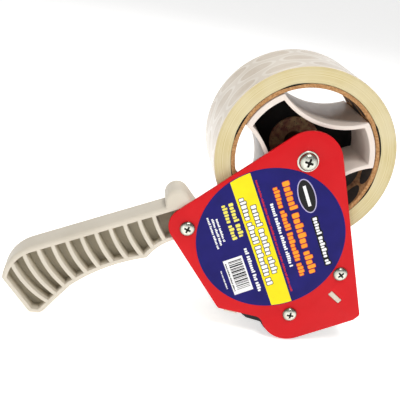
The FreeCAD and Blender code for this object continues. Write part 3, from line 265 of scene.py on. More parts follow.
def pressed_fibre():
    """Vulcanised fibre brake washer: brown-red, flecked with dark specks and dull from rubbing."""
    made, tree, shader, spot = surface("pressed_fibre", "#7A6A4A", 0.72)
    base = tint(tree, shader, spot, 3.0, ("#5A1D18", "#7C5B40", "#98875C"), 5.0)
    cells = add(tree, "ShaderNodeTexVoronoi", {"Vector": spot, "Scale": 1 / (1.5 * MM)})
    overlay(tree, shader, base, cells.outputs["Distance"], (0.12, 0.32), (0.8, 0.0), "#120606")
    relief(tree, shader, spot, 0.8, 0.06, 0.5, 4.0)
    return made


def oval_rows(tree, long_share, wide_share):
    """Staggered rows of ovals on the map wrapped round the roll: 0 in their middle, 1 at their edge."""
    at = add(tree, "ShaderNodeUVMap", uv_map="wrap").outputs["UV"]
    for operation, by in (("SUBTRACT", (0.0, ROLL_NEAR * MM, 0.0)),
                          ("DIVIDE", (OVAL_PITCH * MM, OVAL_ROW * MM, 1.0))):
        at = add(tree, "ShaderNodeVectorMath", {0: at, 1: by}, operation=operation).outputs[0]
    parts = add(tree, "ShaderNodeSeparateXYZ", {"Vector": at})
    row = add(tree, "ShaderNodeMath", {0: parts.outputs["Y"]}, operation="FLOOR").outputs[0]
    column = add(tree, "ShaderNodeMath", {0: row, 1: 0.5, 2: parts.outputs["X"]}, operation="MULTIPLY_ADD")
    place = add(tree, "ShaderNodeCombineXYZ", {"X": column.outputs[0], "Y": parts.outputs["Y"], "Z": 0.5})
    at = add(tree, "ShaderNodeVectorMath", {0: place.outputs[0]}, operation="FRACTION").outputs[0]
    for operation, by in (("SUBTRACT", (0.5, 0.5, 0.5)),
                          ("MULTIPLY", (2 / long_share, 2 / wide_share, 0.0))):
        at = add(tree, "ShaderNodeVectorMath", {0: at, 1: by}, operation=operation).outputs[0]
    return add(tree, "ShaderNodeVectorMath", {0: at}, operation="LENGTH").outputs["Value"]


def kraft_board():
    """Spiral-wound kraft board: brown paper with long fibres, printed inside with dark plain ovals."""
    made, tree, shader, spot = surface("kraft_board", "#A77B4E", 0.85)
    fibres = add(tree, "ShaderNodeMapping", {"Vector": spot, "Scale": (1.0, 0.25, 1.0)}).outputs[0]
    base = tint(tree, shader, fibres, 1.2, ("#8F6238", "#B08050", "#C79D6B"), 5.0)
    overlay(tree, shader, base, oval_rows(tree, 0.94, 0.84), (0.96, 1.0), (0.97, 0.0), "#0C0906")
    relief(tree, shader, fibres, 1.0, 0.08, 0.6, 5.0)
    return made


def wound_film():
    """Edges of wound clear film: honey cream with fine rings. The real turns are 0.05 mm,
    so the rings are drawn coarser, at about half a millimetre, to show."""
    made, tree, shader, spot = surface("wound_film", "#D6C68F", 0.4, Specular_IOR_Level=0.3)
    centred = add(tree, "ShaderNodeVectorMath", {0: spot, 1: tuple(HUB_AXIS)}, operation="SUBTRACT")
    flat = add(tree, "ShaderNodeVectorMath", {0: centred.outputs[0], 1: (1.0, 0.0, 1.0)},
               operation="MULTIPLY")
    radius = add(tree, "ShaderNodeVectorMath", {0: flat.outputs[0]}, operation="LENGTH").outputs["Value"]
    rings = add(tree, "ShaderNodeTexNoise", {"W": radius, "Scale": 1 / (0.5 * MM), "Detail": 4.0},
                noise_dimensions="1D")
    tones = add(tree, "ShaderNodeValToRGB", {"Fac": rings.outputs["Fac"]})
    base = set_stops(tones, ((NOISE_LOW, "#C6B47A"), (NOISE_HIGH, "#DCCFA4")))
    milky = add(tree, "ShaderNodeTexNoise", {"Vector": spot, "Scale": 1 / (18.0 * MM)})
    overlay(tree, shader, base, milky.outputs["Fac"], (0.35, 0.7), (0.0, 0.5), "#DED4B4")
    raised = add(tree, "ShaderNodeBump", {"Height": rings.outputs["Fac"], "Distance": 0.05 * MM,
                                          "Strength": 0.45})
    tree.links.new(raised.outputs["Normal"], shader.inputs["Normal"])
    return made


def clear_film_face():
    """Clear polypropylene film over the pale roll: glassy, rippled by trapped air, with
    rows of faint oval tints on the wrap below."""
    made, tree, shader, spot = surface("clear_film_face", "#E0D6C6", 0.3, Coat_Weight=0.35,
                                       Coat_Roughness=0.1)
    tones = add(tree, "ShaderNodeValToRGB", {"Fac": oval_rows(tree, 0.96, 0.92)})
    base = set_stops(tones, ((0.0, "#C6B39A"), (0.76, "#CAB8A0"), (0.82, "#E9E0D2"), (0.95, "#E9E0D2"),
                             (1.0, "#DACDBB")))
    hazy = add(tree, "ShaderNodeTexNoise", {"Vector": spot, "Scale": 1 / (5.0 * MM), "Detail": 4.0})
    overlay(tree, shader, base, hazy.outputs["Fac"], (0.35, 0.7), (0.1, 0.6), "#DED2C1")
    rippled = add(tree, "ShaderNodeMapping", {"Vector": spot, "Scale": (1.0, 0.3, 1.0)}).outputs[0]
    relief(tree, shader, rippled, 8.0, 0.06, 0.25, 1.0)
    return made


FINISH = {
    "zinc": zinc_plate(), "steel": turned_steel(), "strip": hardened_strip(), "fibre": pressed_fibre(),
    "card": kraft_board(), "wound": wound_film(), "film": clear_film_face(), "abs": moulded_abs(),
    # stoved enamel on sheet steel: one deep even red, a wet gloss and the faintest orange peel
    "red": coated("red_enamel", "#CC0A13", 0.36, (22.0, ("#C80812", "#D00C16")), (9.0, 0.3, 0.4),
                  (1.4, 0.012, 0.3, 1.0), Specular_IOR_Level=0.2),
    # polypropylene label flooded with blue ink: dark, slightly mottled and softly glossy
    "blue": coated("label_film_blue", "#18156A", 0.4, (9.0, ("#161260", "#1B176C")), (6.0, 0.3, 0.4),
                   (3.0, 0.008, 0.25, 1.0), Specular_IOR_Level=0.15),
    # powder coat on sheet steel: satin black with small pebbled bumps
    "powder": coated("powder_coat_black", "#0D0D0F", 0.5, (8.0, ("#0A0A0C", "#111113")), (4.0, 0.42, 0.56),
                     (0.7, 0.05), Specular_IOR_Level=0.3),
    # painted shade deep inside the hub: the end plate is a matt near-black that gives almost nothing back
    "dark": coated("blackened_plate", "#070707", 0.75, (6.0, ("#050505", "#0B0A0A")), None,
                   (1.0, 0.03, 0.3), Specular_IOR_Level=0.25),
    # near-black painted shade, put in the screw recesses and in the gap at the core: nearly black, with a
    # dull lumpy shine
    "painted_shade": coated("packed_grease", "#17140E", 0.7, (1.0, ("#100D09", "#221E15")), None, (0.5, 0.05),
                     Specular_IOR_Level=0.2),
    # ground natural rubber: dull black with a slightly grey nap
    "rubber": coated("ground_rubber", "#151515", 0.75, (3.0, ("#101011", "#1E1D1D")), None,
                     (0.6, 0.06, 0.5, 3.0)),
    # thin moulded polypropylene: milky, with some light coming through
    "milky": coated("milky_polypropylene", "#DDD8CC", 0.35, (5.0, ("#D4CEC1", "#E4E0D6")), None,
                    (1.5, 0.02, 0.3), Transmission_Weight=0.3),
    # opal acrylic sheet of a light table, lit softly from below: an even, matt white
    "opal": coated("opal_acrylic", "#F6F5F3", 0.9, (60.0, ("#F4F3F1", "#F8F7F5")), None, (2.0, 0.02, 0.2),
                   Emission_Color=linear("#FFFFFF"), Emission_Strength=0.62),
    # brighter, slightly pink polystyrene of the hub
    "styrene": moulded("moulded_polystyrene", "#E0D3C8", "#EBDFD5", 0.7, 0.32, 0.44),
    # waxy off-white nylon of the guide roller
    "nylon": moulded("moulded_nylon", "#D6D3C8", "#E2DFD5", 0.5, 0.34, 0.44),
    # slick white acetal of the bushing and the press roller's core
    "acetal": moulded("moulded_acetal", "#E2E1DC", "#ECEBE6", 0.5, 0.26, 0.36),
    # dull black nylon of the tension knob
    "knob": moulded("black_nylon", "#161617", "#202022", 0.6, 0.44, 0.56),
    # warm yellow brass of the handle's insert
    "brass": small_metal("turned_brass", "#B88E3E", "#CFA855", 0.26, 0.38),
    # dark, oily-looking steel of the hub post
    "oxide": small_metal("black_oxide", "#161616", "#242425", 0.38, 0.5),
    # pale, soft aluminium of the blade's rivets
    "rivet": small_metal("set_aluminium", "#B8B9BA", "#CFD0D0", 0.3, 0.42),
}
INKS = {
    "yellow": ("#F8DC00", "#FCE400"), "white": ("#ECECEC", "#F6F6F6"), "black": ("#08080A", "#101012"),
    "orange": ("#F2931B", "#F8A528"), "scarlet": ("#C8141E", "#D41C28"), "lilac": ("#B0A8CE", "#BCB4D8"),
    "lemon": ("#EBDD58", "#F3E86C"),
}
for ink_name, shades in INKS.items():
    FINISH[ink_name] = screen_ink(ink_name + "_ink", *shades)


# ---------- making pieces
def put(name, data):
    """An object in the scene that carries the data: a mesh, a lamp or the camera."""
    thing = bpy.data.objects.new(name, data)
    bpy.context.scene.collection.objects.link(thing)
    return thing


def piece(name, mesh, finish, body, stands_for=()):
    """Puts a finished mesh in the scene as one piece of the dispenser."""
    thing = put(name, mesh)
    mesh.materials.clear()
    mesh.materials.append(FINISH[finish])
    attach(thing, body)
    if stands_for:
        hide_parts(*stands_for)


def plain_mesh(thing):
    """The object with its modifiers applied, as a plain mesh; the object itself goes."""
    graph = bpy.context.evaluated_depsgraph_get()
    mesh = bpy.data.meshes.new_from_object(thing.evaluated_get(graph))
    bpy.data.objects.remove(thing)
    return mesh


def finished(work, name, sharp=40.0):
    """A mesh from a bmesh, with outward normals and smooth faces up to a sharp angle."""
    bmesh.ops.recalc_face_normals(work, faces=work.faces)
    mesh = bpy.data.meshes.new(name)
    work.to_mesh(mesh)
    work.free()
    return shaded(mesh, sharp)


def shaded(mesh, sharp=40.0):
    """Smooth faces, with edges kept crisp where they turn by more than the angle."""
    for face in mesh.polygons:
        face.use_smooth = True
    mesh.set_sharp_from_angle(angle=math.radians(sharp))
    return mesh


# depth of the handle's pockets, from either side to the web between them
POCKET_DEEP = 7.2
# distance under which points are one, and angle under which neighbouring faces are one, before a bevel
SAME_POINT, SAME_FACE = 0.002 * MM, math.radians(0.3)
BEVEL_FROM = math.radians(32)


def shade_pockets(mesh, node):
    """Stores how deep each point lies in the handle's pockets, which sets the painted shade: 0 at their
    mouth, 1 at the web.
    """
    near, far = (side.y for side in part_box(node))
    pocket = mesh.attributes.new("pocket", "FLOAT", "POINT")
    for point, value in zip(mesh.vertices, pocket.data):
        value.value = min(1.0, min(point.co.y - near, far - point.co.y) / (POCKET_DEEP * MM))


def soften(node, name, finish, body, slot, width_mm, segments):
    """A copy of a CAD piece whose sharp edges are broken by a small radius."""
    mesh = NODES[node].data.copy()
    work = bmesh.new()
    work.from_mesh(mesh)
    bmesh.ops.remove_doubles(work, verts=work.verts, dist=SAME_POINT)
    bmesh.ops.dissolve_limit(work, angle_limit=SAME_FACE, verts=work.verts, edges=work.edges)
    work.to_mesh(mesh)
    work.free()
    thing = put(node + "_work", mesh)
    edge = thing.modifiers.new("edge", "BEVEL")
    edge.width = width_mm * MM
    edge.segments = segments
    edge.limit_method = "ANGLE"
    edge.angle_limit = BEVEL_FROM
    mesh = shaded(plain_mesh(thing))
    if node == "handle":
        shade_pockets(mesh, node)
    piece(name, mesh, finish, body, (node,))


def finish_node(node, finish):
    """Gives a CAD piece whose shape is right its finish."""
    thing = NODES[node]
    if not thing.material_slots:
        thing.data.materials.append(FINISH[finish])
    for slot in thing.material_slots:
        slot.link = "OBJECT"
        slot.material = FINISH[finish]


# ---------- geometry node trees
def open_tree(name, sizes):
    """A Geometry Nodes tree with named inputs; returns it and its two ends."""
    tree = bpy.data.node_groups.new(name, "GeometryNodeTree")
    tree.interface.new_socket("Geometry", in_out="INPUT", socket_type="NodeSocketGeometry")
    for label, kind in sizes.items():
        tree.interface.new_socket(label, in_out="INPUT", socket_type="NodeSocket" + kind)
    tree.interface.new_socket("Finish", in_out="INPUT", socket_type="NodeSocketMaterial")
    tree.interface.new_socket("Geometry", in_out="OUTPUT", socket_type="NodeSocketGeometry")
    return tree, add(tree, "NodeGroupInput"), add(tree, "NodeGroupOutput")


def close_tree(tree, enter, leave, geometry):
    """Ends a tree in Realize Instances and Set Material."""
    real = add(tree, "GeometryNodeRealizeInstances", {"Geometry": geometry})
    dressed = add(tree, "GeometryNodeSetMaterial", {
        "Geometry": real.outputs[0], "Material": enter.outputs["Finish"]})
    tree.links.new(dressed.outputs[0], leave.inputs[0])
    return tree


def run_tree(tree, base, finish, **sizes):
    """Runs a tree on a mesh with its named inputs, and returns the plain mesh."""
    thing = put(tree.name + "_work", base)
    worker = thing.modifiers.new(tree.name, "NODES")
    worker.node_group = tree
    sizes["Finish"] = FINISH[finish]
    for item in tree.interface.items_tree:
        if item.item_type == "SOCKET" and item.in_out == "INPUT" and item.name in sizes:
            worker[item.identifier] = sizes[item.name]
    return plain_mesh(thing)


def set_out_tree():
    """One source piece on every point, with the point's own turn and stretch."""
    tree, enter, leave = open_tree("set_out", {"Source": "Object"})
    source = add(tree, "GeometryNodeObjectInfo", {"Object": enter.outputs["Source"]})
    turn = add(tree, "GeometryNodeInputNamedAttribute", {"Name": "turn"}, data_type="FLOAT_VECTOR")
    stretch = add(tree, "GeometryNodeInputNamedAttribute", {"Name": "stretch"}, data_type="FLOAT_VECTOR")
    spin = add(tree, "FunctionNodeEulerToRotation", {0: turn.outputs["Attribute"]})
    points = add(tree, "GeometryNodeMeshToPoints", {"Mesh": enter.outputs["Geometry"]})
    placed = add(tree, "GeometryNodeInstanceOnPoints", {
        "Points": points.outputs[0], "Instance": source.outputs["Geometry"], "Rotation": spin.outputs[0],
        "Scale": stretch.outputs["Attribute"]})
    return close_tree(tree, enter, leave, placed.outputs[0])


def set_out(tree, source, rows, finish):
    """Sets the source out at (matrix, stretch) rows given on the plate's axes."""
    base = bpy.data.meshes.new("places")
    base.from_pydata([ROW @ place.to_translation() for place, stretch in rows], [], [])
    turns = base.attributes.new("turn", "FLOAT_VECTOR", "POINT")
    stretches = base.attributes.new("stretch", "FLOAT_VECTOR", "POINT")
    for i, (place, stretch) in enumerate(rows):
        turns.data[i].vector = (LEAN @ place.to_3x3().to_4x4()).to_euler()
        stretches.data[i].vector = stretch
    return run_tree(tree, base, finish, Source=source)


def wound_tape_tree():
    """The roll as nested bands of film, each a hair further in or out than the next. On the random
    node, inputs 2 and 3 and output 1 are those of its number kind."""
    tree, enter, leave = open_tree("wound_tape", {
        "Bands": "Int", "Inner": "Float", "Outer": "Float", "Width": "Float", "Stagger": "Float",
        "Sides": "Int", "Seed": "Int"})
    size = enter.outputs
    span = add(tree, "ShaderNodeMath", {0: size["Outer"], 1: size["Inner"]},
               operation="SUBTRACT").outputs[0]
    thick = add(tree, "ShaderNodeMath", {0: span, 1: size["Bands"]}, operation="DIVIDE").outputs[0]
    first = add(tree, "ShaderNodeMath", {0: thick, 1: 0.5, 2: size["Inner"]},
                operation="MULTIPLY_ADD").outputs[0]
    index = add(tree, "GeometryNodeInputIndex").outputs[0]
    middle = add(tree, "ShaderNodeMath", {0: index, 1: thick, 2: first},
                 operation="MULTIPLY_ADD").outputs[0]
    grown = add(tree, "ShaderNodeCombineXYZ", {"X": middle, "Y": middle, "Z": 1.0}).outputs[0]
    row = add(tree, "GeometryNodeMeshLine", {"Count": size["Bands"], "Offset": (0.0, 0.0, 0.0)}).outputs[0]
    ring = add(tree, "GeometryNodeCurvePrimitiveCircle", {
        "Resolution": size["Sides"], "Radius": 1.0}).outputs[0]
    placed = add(tree, "GeometryNodeInstanceOnPoints", {
        "Points": row, "Instance": ring, "Scale": grown}).outputs[0]
    inward = add(tree, "ShaderNodeMath", {0: size["Stagger"], 1: -1.0}, operation="MULTIPLY").outputs[0]
    slide = add(tree, "FunctionNodeRandomValue", {2: inward, 3: size["Stagger"], "Seed": size["Seed"]},
                data_type="FLOAT")
    shift = add(tree, "ShaderNodeCombineXYZ", {"Z": slide.outputs[1]}).outputs[0]
    moved = add(tree, "GeometryNodeTranslateInstances", {
        "Instances": placed, "Translation": shift, "Local Space": False}).outputs[0]
    curves = add(tree, "GeometryNodeRealizeInstances", {"Geometry": moved}).outputs[0]
    strip = add(tree, "GeometryNodeCurvePrimitiveQuadrilateral", {
        "Width": thick, "Height": size["Width"]}).outputs[0]
    swept = add(tree, "GeometryNodeCurveToMesh", {"Curve": curves, "Profile Curve": strip}).outputs[0]
    return close_tree(tree, enter, leave, swept)


def coil_spring_tree():
    """Round wire of so many sides wound into a coil along z, with closed ends."""
    tree, enter, leave = open_tree("coil_spring", {
        "Radius": "Float", "Wire": "Float", "Turns": "Float", "Travel": "Float", "Steps": "Int",
        "Sides": "Int"})
    size = enter.outputs
    path = add(tree, "GeometryNodeCurveSpiral", {
        "Resolution": size["Steps"], "Rotations": size["Turns"], "Start Radius": size["Radius"],
        "End Radius": size["Radius"], "Height": size["Travel"]}).outputs[0]
    wire = add(tree, "GeometryNodeCurvePrimitiveCircle", {
        "Resolution": size["Sides"], "Radius": size["Wire"]}).outputs[0]
    swept = add(tree, "GeometryNodeCurveToMesh", {
        "Curve": path, "Profile Curve": wire, "Fill Caps": True}).outputs[0]
    return close_tree(tree, enter, leave, swept)


SET_OUT = set_out_tree()


# ---------- the label and its print
# the print's lines run down the label, turned by this much from the plate's vertical
PRINT_TURN = math.radians(18.3)
BAND_MIDDLE, BAND_WIDE, BAND_SETBACK = -5.6, 11.6, 0.4
# height of each level of ink, of which the ink itself fills nine tenths
INK_THICK, INK_SHARE = 0.03, 0.9
LABEL_SIDES, LABEL_EDGE = 180, 0.1
# blocks of print and the gaps between them, as shares of their line's height
BLOCK_LEAST, BLOCK_MOST, BLOCK_GAP, GROUP_GAP, LINE_END = 0.42, 0.66, 0.16, 0.4, 0.3
BLOCK_TALL = (1.0, 0.74, 0.74, 0.86)
GROUP_OF = (3, 8)
BLOCK_CORNER = 0.2
FIRST_PRINT_SEED = 11
# the panel's margins, and the widths of its stripes and gaps
PANEL_START, PANEL_END, PANEL_RAISE, PANEL_MARGIN, PANEL_SEED = 1.6, 2.0, 0.8, 3.4, 23
STRIPES, STRIPE_GAPS = (0.3, 0.3, 0.6, 0.9), (0.3, 0.45, 0.7)


def on_label(along, across):
    """A point on the label's print axes: along its lines, downwards, and across them, to the right."""
    return (LABEL_CENTRE[0] + along * math.sin(PRINT_TURN) + across * math.cos(PRINT_TURN),
            LABEL_CENTRE[1] - along * math.cos(PRINT_TURN) + across * math.sin(PRINT_TURN))


def slab(outlines, near, far):
    """Flat closed patches on the plate's axes, from outlines in mm, between two depths."""
    work = bmesh.new()
    for outline in outlines:
        front = [work.verts.new(ROW @ Vector((x, near, z))) for x, z in outline]
        back = [work.verts.new(ROW @ Vector((x, far, z))) for x, z in outline]
        work.faces.new(front)
        work.faces.new(back[::-1])
        for i in range(len(outline)):
            work.faces.new((front[i - 1], back[i - 1], back[i], front[i]))
    return finished(work, "slab", 20.0)


def ink(name, outlines, finish, level):
    """Printed patches of one ink; each level lies on the one before."""
    near = LABEL_FACE - INK_THICK * level
    piece(name, slab(outlines, near, near + INK_THICK * INK_SHARE), finish, "frame")


def oval_points(along, across, long, wide, sides=56):
    """Outline of an oval on the label."""
    return [on_label(along + long / 2 * math.cos(turn), across + wide / 2 * math.sin(turn))
            for turn in turns_of(sides)]


def box_points(along, across, long, wide):
    """Outline of a rectangle on the label."""
    return [on_label(along + a * long / 2, across + b * wide / 2)
            for a, b in ((-1, -1), (1, -1), (1, 1), (-1, 1))]


def band_points(steps=4):
    """The band across the label, with ends that follow the label's edge."""
    reach = LABEL_RADIUS - BAND_SETBACK
    ends = []
    for way in (-1, 1):
        for i in range(2 * steps + 1):
            across = BAND_MIDDLE - way * BAND_WIDE / 2 * (i / steps - 1)
            ends.append(on_label(way * math.sqrt(reach ** 2 - across ** 2), across))
    return ends


def print_blocks(seed, start, end, across, high, margin):
    """Small blocks in groups that stand for a line of print, without any letter's shape."""
    draw = random.Random(seed)
    rows, at, left = [], start, draw.randint(*GROUP_OF)
    while at < end - LINE_END * high:
        long = min(high * draw.uniform(BLOCK_LEAST, BLOCK_MOST), end - at)
        tall = high * draw.choice(BLOCK_TALL)
        rows.append((at + long / 2, across - (high - tall) / 2, long + 2 * margin, tall + 2 * margin))
        at += long + BLOCK_GAP * high
        left -= 1
        if left == 0:
            left = draw.randint(*GROUP_OF)
            at += GROUP_GAP * high
    return rows


def print_lines(name, lines, finish, level, margin=0.0):
    """Lines of (start, end, across, height) set out in blocks on the label as one piece of ink."""
    thick = INK_THICK * INK_SHARE
    middle_y = LABEL_FACE - INK_THICK * level + thick / 2
    turn = Matrix.Rotation(math.pi / 2 - PRINT_TURN, 4, "Y")
    work = bmesh.new()
    bmesh.ops.create_cube(work, size=MM)
    bmesh.ops.bevel(work, geom=[e for e in work.edges if abs(e.verts[0].co.y - e.verts[1].co.y) > MM / 2],
                    offset=BLOCK_CORNER * MM, segments=2, profile=0.5, affect="EDGES")
    source = put("print_block", finished(work, "print_block"))
    rows = []
    for seed, (start, end, across, high) in enumerate(lines, start=FIRST_PRINT_SEED):
        for along, middle, long, tall in print_blocks(seed, start, end, across, high, margin):
            x, z = on_label(along, middle)
            rows.append((Matrix.Translation((x, middle_y, z)) @ turn, (long, thick, tall)))
    mesh = set_out(SET_OUT, source, rows, finish)
    bpy.data.objects.remove(source)
    piece(name, mesh, finish, "frame")


def make_label():
    """The round film, then the band, the lines of print, the badge and the panel."""
    work = bmesh.new()
    rings = [[work.verts.new(on_plate(radius, turn, y, LABEL_CENTRE)) for turn in turns_of(LABEL_SIDES)]
             for radius, y in ((LABEL_RADIUS, 0.0), (LABEL_RADIUS, 0.6 * LABEL_FACE),
                               (LABEL_RADIUS - LABEL_EDGE, LABEL_FACE))]
    for first, second in zip(rings, rings[1:]):
        for i in range(LABEL_SIDES):
            work.faces.new((first[i - 1], first[i], second[i], second[i - 1]))
    work.faces.new(rings[-1])
    work.faces.new(rings[0][::-1])
    piece("label_film", finished(work, "label_film", 30.0), "blue", "frame", ("label",))

    ink("label_band", [band_points()], "yellow", 1)
    in_band = [(-22.8, 20.5, BAND_MIDDLE + 2.1, 3.3), (-28.8, 28.0, BAND_MIDDLE - 2.7, 3.3)]
    print_lines("label_band_outline", in_band, "black", 2, 0.35)
    print_lines("label_band_print", in_band, "white", 3)
    title = [(-30.0, 28.0, 16.8, 4.4), (-28.5, 27.5, 10.6, 3.1)]
    print_lines("label_title_outline", title, "scarlet", 1, 0.22)
    print_lines("label_title", title, "orange", 2)
    print_lines("label_note", [(-20.3, 20.0, 6.1, 2.0)], "white", 1)
    print_lines("label_note_red", [(-36.0, 35.0, 2.0, 1.1)], "scarlet", 1)
    print_lines("label_size", [(-28.2, -6.5, -14.6, 2.9), (-28.3, -6.1, -18.6, 2.7)], "lemon", 1)
    print_lines("label_small", [(-22.1, -7.8, -24.5, 1.3), (-22.8, -6.2, -26.7, 1.3),
                                (-24.4, -4.7, -28.9, 1.3), (0.0, 29.3, -14.9, 2.1),
                                (8.7, 20.6, -31.8, 0.8)], "white", 1)
    on_dark = [(-4.2, 26.1, 26.1, 2.7)]
    print_lines("label_clear_outline", on_dark, "black", 1, 0.8)
    print_lines("label_clear_print", on_dark, "white", 2)
    badge = (-17.8, 25.4)
    ink("label_badge_rim", [oval_points(*badge, 20.6, 9.6)], "lilac", 1)
    ink("label_badge_oval", [oval_points(*badge, 19.4, 8.4)], "black", 2)
    ink("label_badge_bar", [box_points(*badge, 12.4, 1.7)], "white", 3)
    make_stripes_panel((14.6, -23.6), 22.4, 11.0)


def make_stripes_panel(centre, long, wide):
    """A white panel with plain random stripes, which hold no code."""
    ink("label_panel", [box_points(*centre, long, wide)], "white", 1)
    draw = random.Random(PANEL_SEED)
    start, end = centre[0] - long / 2, centre[0] + long / 2
    stripes, at = [], start + PANEL_START
    while at < end - PANEL_END:
        thick = draw.choice(STRIPES)
        stripes.append(box_points(at + thick / 2, centre[1] + PANEL_RAISE, thick, wide - PANEL_MARGIN))
        at += thick + draw.choice(STRIPE_GAPS)
    ink("label_panel_stripes", stripes, "black", 2)
    line = (start + PANEL_END, end - PANEL_END, centre[1] - wide / 2 + 1.0, 0.9)
    print_lines("label_panel_print", [line], "black", 2)


# ---------- screws
# domed screws: radius and height of the head, radius and length of the shank, and the recess
# as its span, its slots' width and its depth
SMALL_SCREW = (4.1, 2.1, 2.0, 12.0, (4.4, 1.1, 1.3))
LARGE_SCREW = (5.0, 2.9, 3.0, 62.0, (5.4, 1.3, 1.7))
DOME_STEPS, DOME_SHARE, RIM_SHARE, RIM_BREAK, TIP_BREAK = 9, 0.96, 0.3, 0.15, 0.6
SCREW_SIDES, SCREW_SHARP = 48, 38.0
# the cutter of a recess and the prism of painted shade in it, at mouth and tip, as shares of its span and
# slot width
CUTTER_MOUTH, CUTTER_TIP, CUTTER_OVER = (1.15, 1.15), (0.5, 0.6), 0.5
SHADE_MOUTH, SHADE_TIP, SHADE_FROM, SHADE_PAST = (0.94, 0.98), (0.45, 0.5), 0.3, 0.1
# each screw as its place on the plate's axes and its recess's turn
PLATE_SCREWS = ((-64.0, -36.3, 0.5), (*PRESS_FROM_HUB, 0.2), (*GUIDE_FROM_HUB, 0.9))
BRACKET_SCREWS = ((*PRESS_FROM_HUB, 0.4), (*GUIDE_FROM_HUB, 1.1))
ARM_SCREWS = ((-68.5, 0.3), (-79.5, 0.8))
BOLT_TURN = 0.35
# x of the bracket's web, where the arm screws seat
WEB_FACE = -34.8
WASHER_THICK, WASHER_HOLE, WASHER_EDGE, WASHER_SIDES = 0.8, 3.2, 0.25, 64


def lathe(work, profile, sides):
    """Turns a closed (radius, y) profile in mm about y; points on the axis become poles."""
    rings = []
    for radius, y in profile:
        turns = [0.0] if radius == 0.0 else turns_of(sides)
        rings.append([work.verts.new((radius * math.cos(turn) * MM, y * MM, radius * math.sin(turn) * MM))
                      for turn in turns])
    for first, second in zip(rings, rings[1:]):
        for k in range(sides):
            corners = (first[k % len(first)], first[(k + 1) % len(first)],
                       second[(k + 1) % len(second)], second[k % len(second)])
            work.faces.new(list(dict.fromkeys(corners)))


def cross_prism(name, near, far):
    """A plus-shaped prism between two (y, span, width) ends in mm, its arms along x and z."""
    work = bmesh.new()
    rings = []
    for y, span, wide in (near, far):
        a, b = span / 2, wide / 2
        corners = [(a, b), (b, b), (b, a), (-b, a), (-b, b), (-a, b),
                   (-a, -b), (-b, -b), (-b, -a), (b, -a), (b, -b), (a, -b)]
        rings.append([work.verts.new((x * MM, y * MM, z * MM)) for x, z in corners])
    work.faces.new(rings[0])
    work.faces.new(rings[1][::-1])
    for i in range(len(corners)):
        work.faces.new((rings[0][i - 1], rings[0][i], rings[1][i], rings[1][i - 1]))
    return put(name, finished(work, name, 20.0))


def domed_screw(name, head, high, shank, long, recess):
    """A domed screw with a cross recess, its seat at y = 0 and its head towards -y, and a near-black
    prism of painted shade at the bottom of the recess."""
    edge = RIM_SHARE * high
    profile = [(0.0, -high)]
    for i in range(1, DOME_STEPS + 1):
        turn = math.pi / 2 * i / DOME_STEPS
        profile.append((DOME_SHARE * head * math.sin(turn), -(edge + (high - edge) * math.cos(turn))))
    profile += [(head, -0.7 * edge), (head, -RIM_BREAK), (head - RIM_BREAK, 0.0), (shank, 0.0),
                (shank, long - TIP_BREAK), (shank - TIP_BREAK, long), (0.0, long)]
    work = bmesh.new()
    lathe(work, profile, SCREW_SIDES)
    blank = put(name, finished(work, name))
    span, wide, deep = recess
    ends = [(start, long_share * span, wide_share * wide) for start, (long_share, wide_share) in (
        (-high - CUTTER_OVER, CUTTER_MOUTH), (-high + deep, CUTTER_TIP),
        (-high + SHADE_FROM * deep, SHADE_MOUTH), (-high + deep + SHADE_PAST, SHADE_TIP))]
    cutter = cross_prism("driver_point", *ends[:2])
    cutting = blank.modifiers.new("recess", "BOOLEAN")
    cutting.object = cutter
    cutting.operation = "DIFFERENCE"
    cutting.solver = "EXACT"
    mesh = shaded(plain_mesh(blank), SCREW_SHARP)
    bpy.data.objects.remove(cutter)
    # how far out each point of the head lies, which sets the painted shade towards its rim
    rim = mesh.attributes.new("rim", "FLOAT", "POINT")
    for point, value in zip(mesh.vertices, rim.data):
        value.value = math.hypot(point.co.x, point.co.z) / (head * MM) if point.co.y < 0.0 else 0.0
    return put(name, mesh), cross_prism(name + "_fill", *ends[2:])


def make_screws():
    """Small screws at the handle and both rollers on either side, and the hub bolt."""
    small = domed_screw("small_screw", *SMALL_SCREW)
    large = domed_screw("large_screw", *LARGE_SCREW)
    facing = Matrix.Identity(4)
    about = Matrix.Rotation(math.pi, 4, "Z")
    aside = Matrix.Rotation(math.pi / 2, 4, "Z")
    far = depth("nose_bracket", 1)
    handle_middle = (depth("handle", 0) + depth("handle", 1)) / 2
    sets = {
        "plate_screws": (small, facing, [(x, 0.0, z, spin) for x, z, spin in PLATE_SCREWS]),
        "bracket_screws": (small, about, [(x, far, z, spin) for x, z, spin in BRACKET_SCREWS]),
        "arm_screws": (small, aside, [(WEB_FACE, handle_middle, z, spin) for z, spin in ARM_SCREWS]),
        "hub_bolt": (large, facing, [(0.0, -WASHER_THICK, 0.0, BOLT_TURN)]),
    }
    for node, ((source, fill), way, places) in sets.items():
        rows = [(Matrix.Translation((x, y, z)) @ way @ Matrix.Rotation(spin, 4, "Y"), (1.0, 1.0, 1.0))
                for x, y, z, spin in places]
        mesh = shaded(set_out(SET_OUT, source, rows, "zinc"), SCREW_SHARP)
        piece(node + "_zinc", mesh, "zinc", "frame", (node,))
        # a near-black prism of painted shade at the bottom of each recess
        piece(node + "_recess", set_out(SET_OUT, fill, rows, "painted_shade"), "painted_shade", "frame")
    for thing in (*small, *large):
        bpy.data.objects.remove(thing)
    washer = radius_of("hub_bolt_washer")
    ring = [(-WASHER_THICK, WASHER_HOLE), (-WASHER_THICK, washer - WASHER_EDGE),
            (WASHER_EDGE - WASHER_THICK, washer), (0.0, washer), (0.0, WASHER_HOLE)]
    piece("hub_bolt_washer_zinc", hub_ring(ring, WASHER_SIDES), "zinc", "frame",
          ("hub_bolt_washer",))


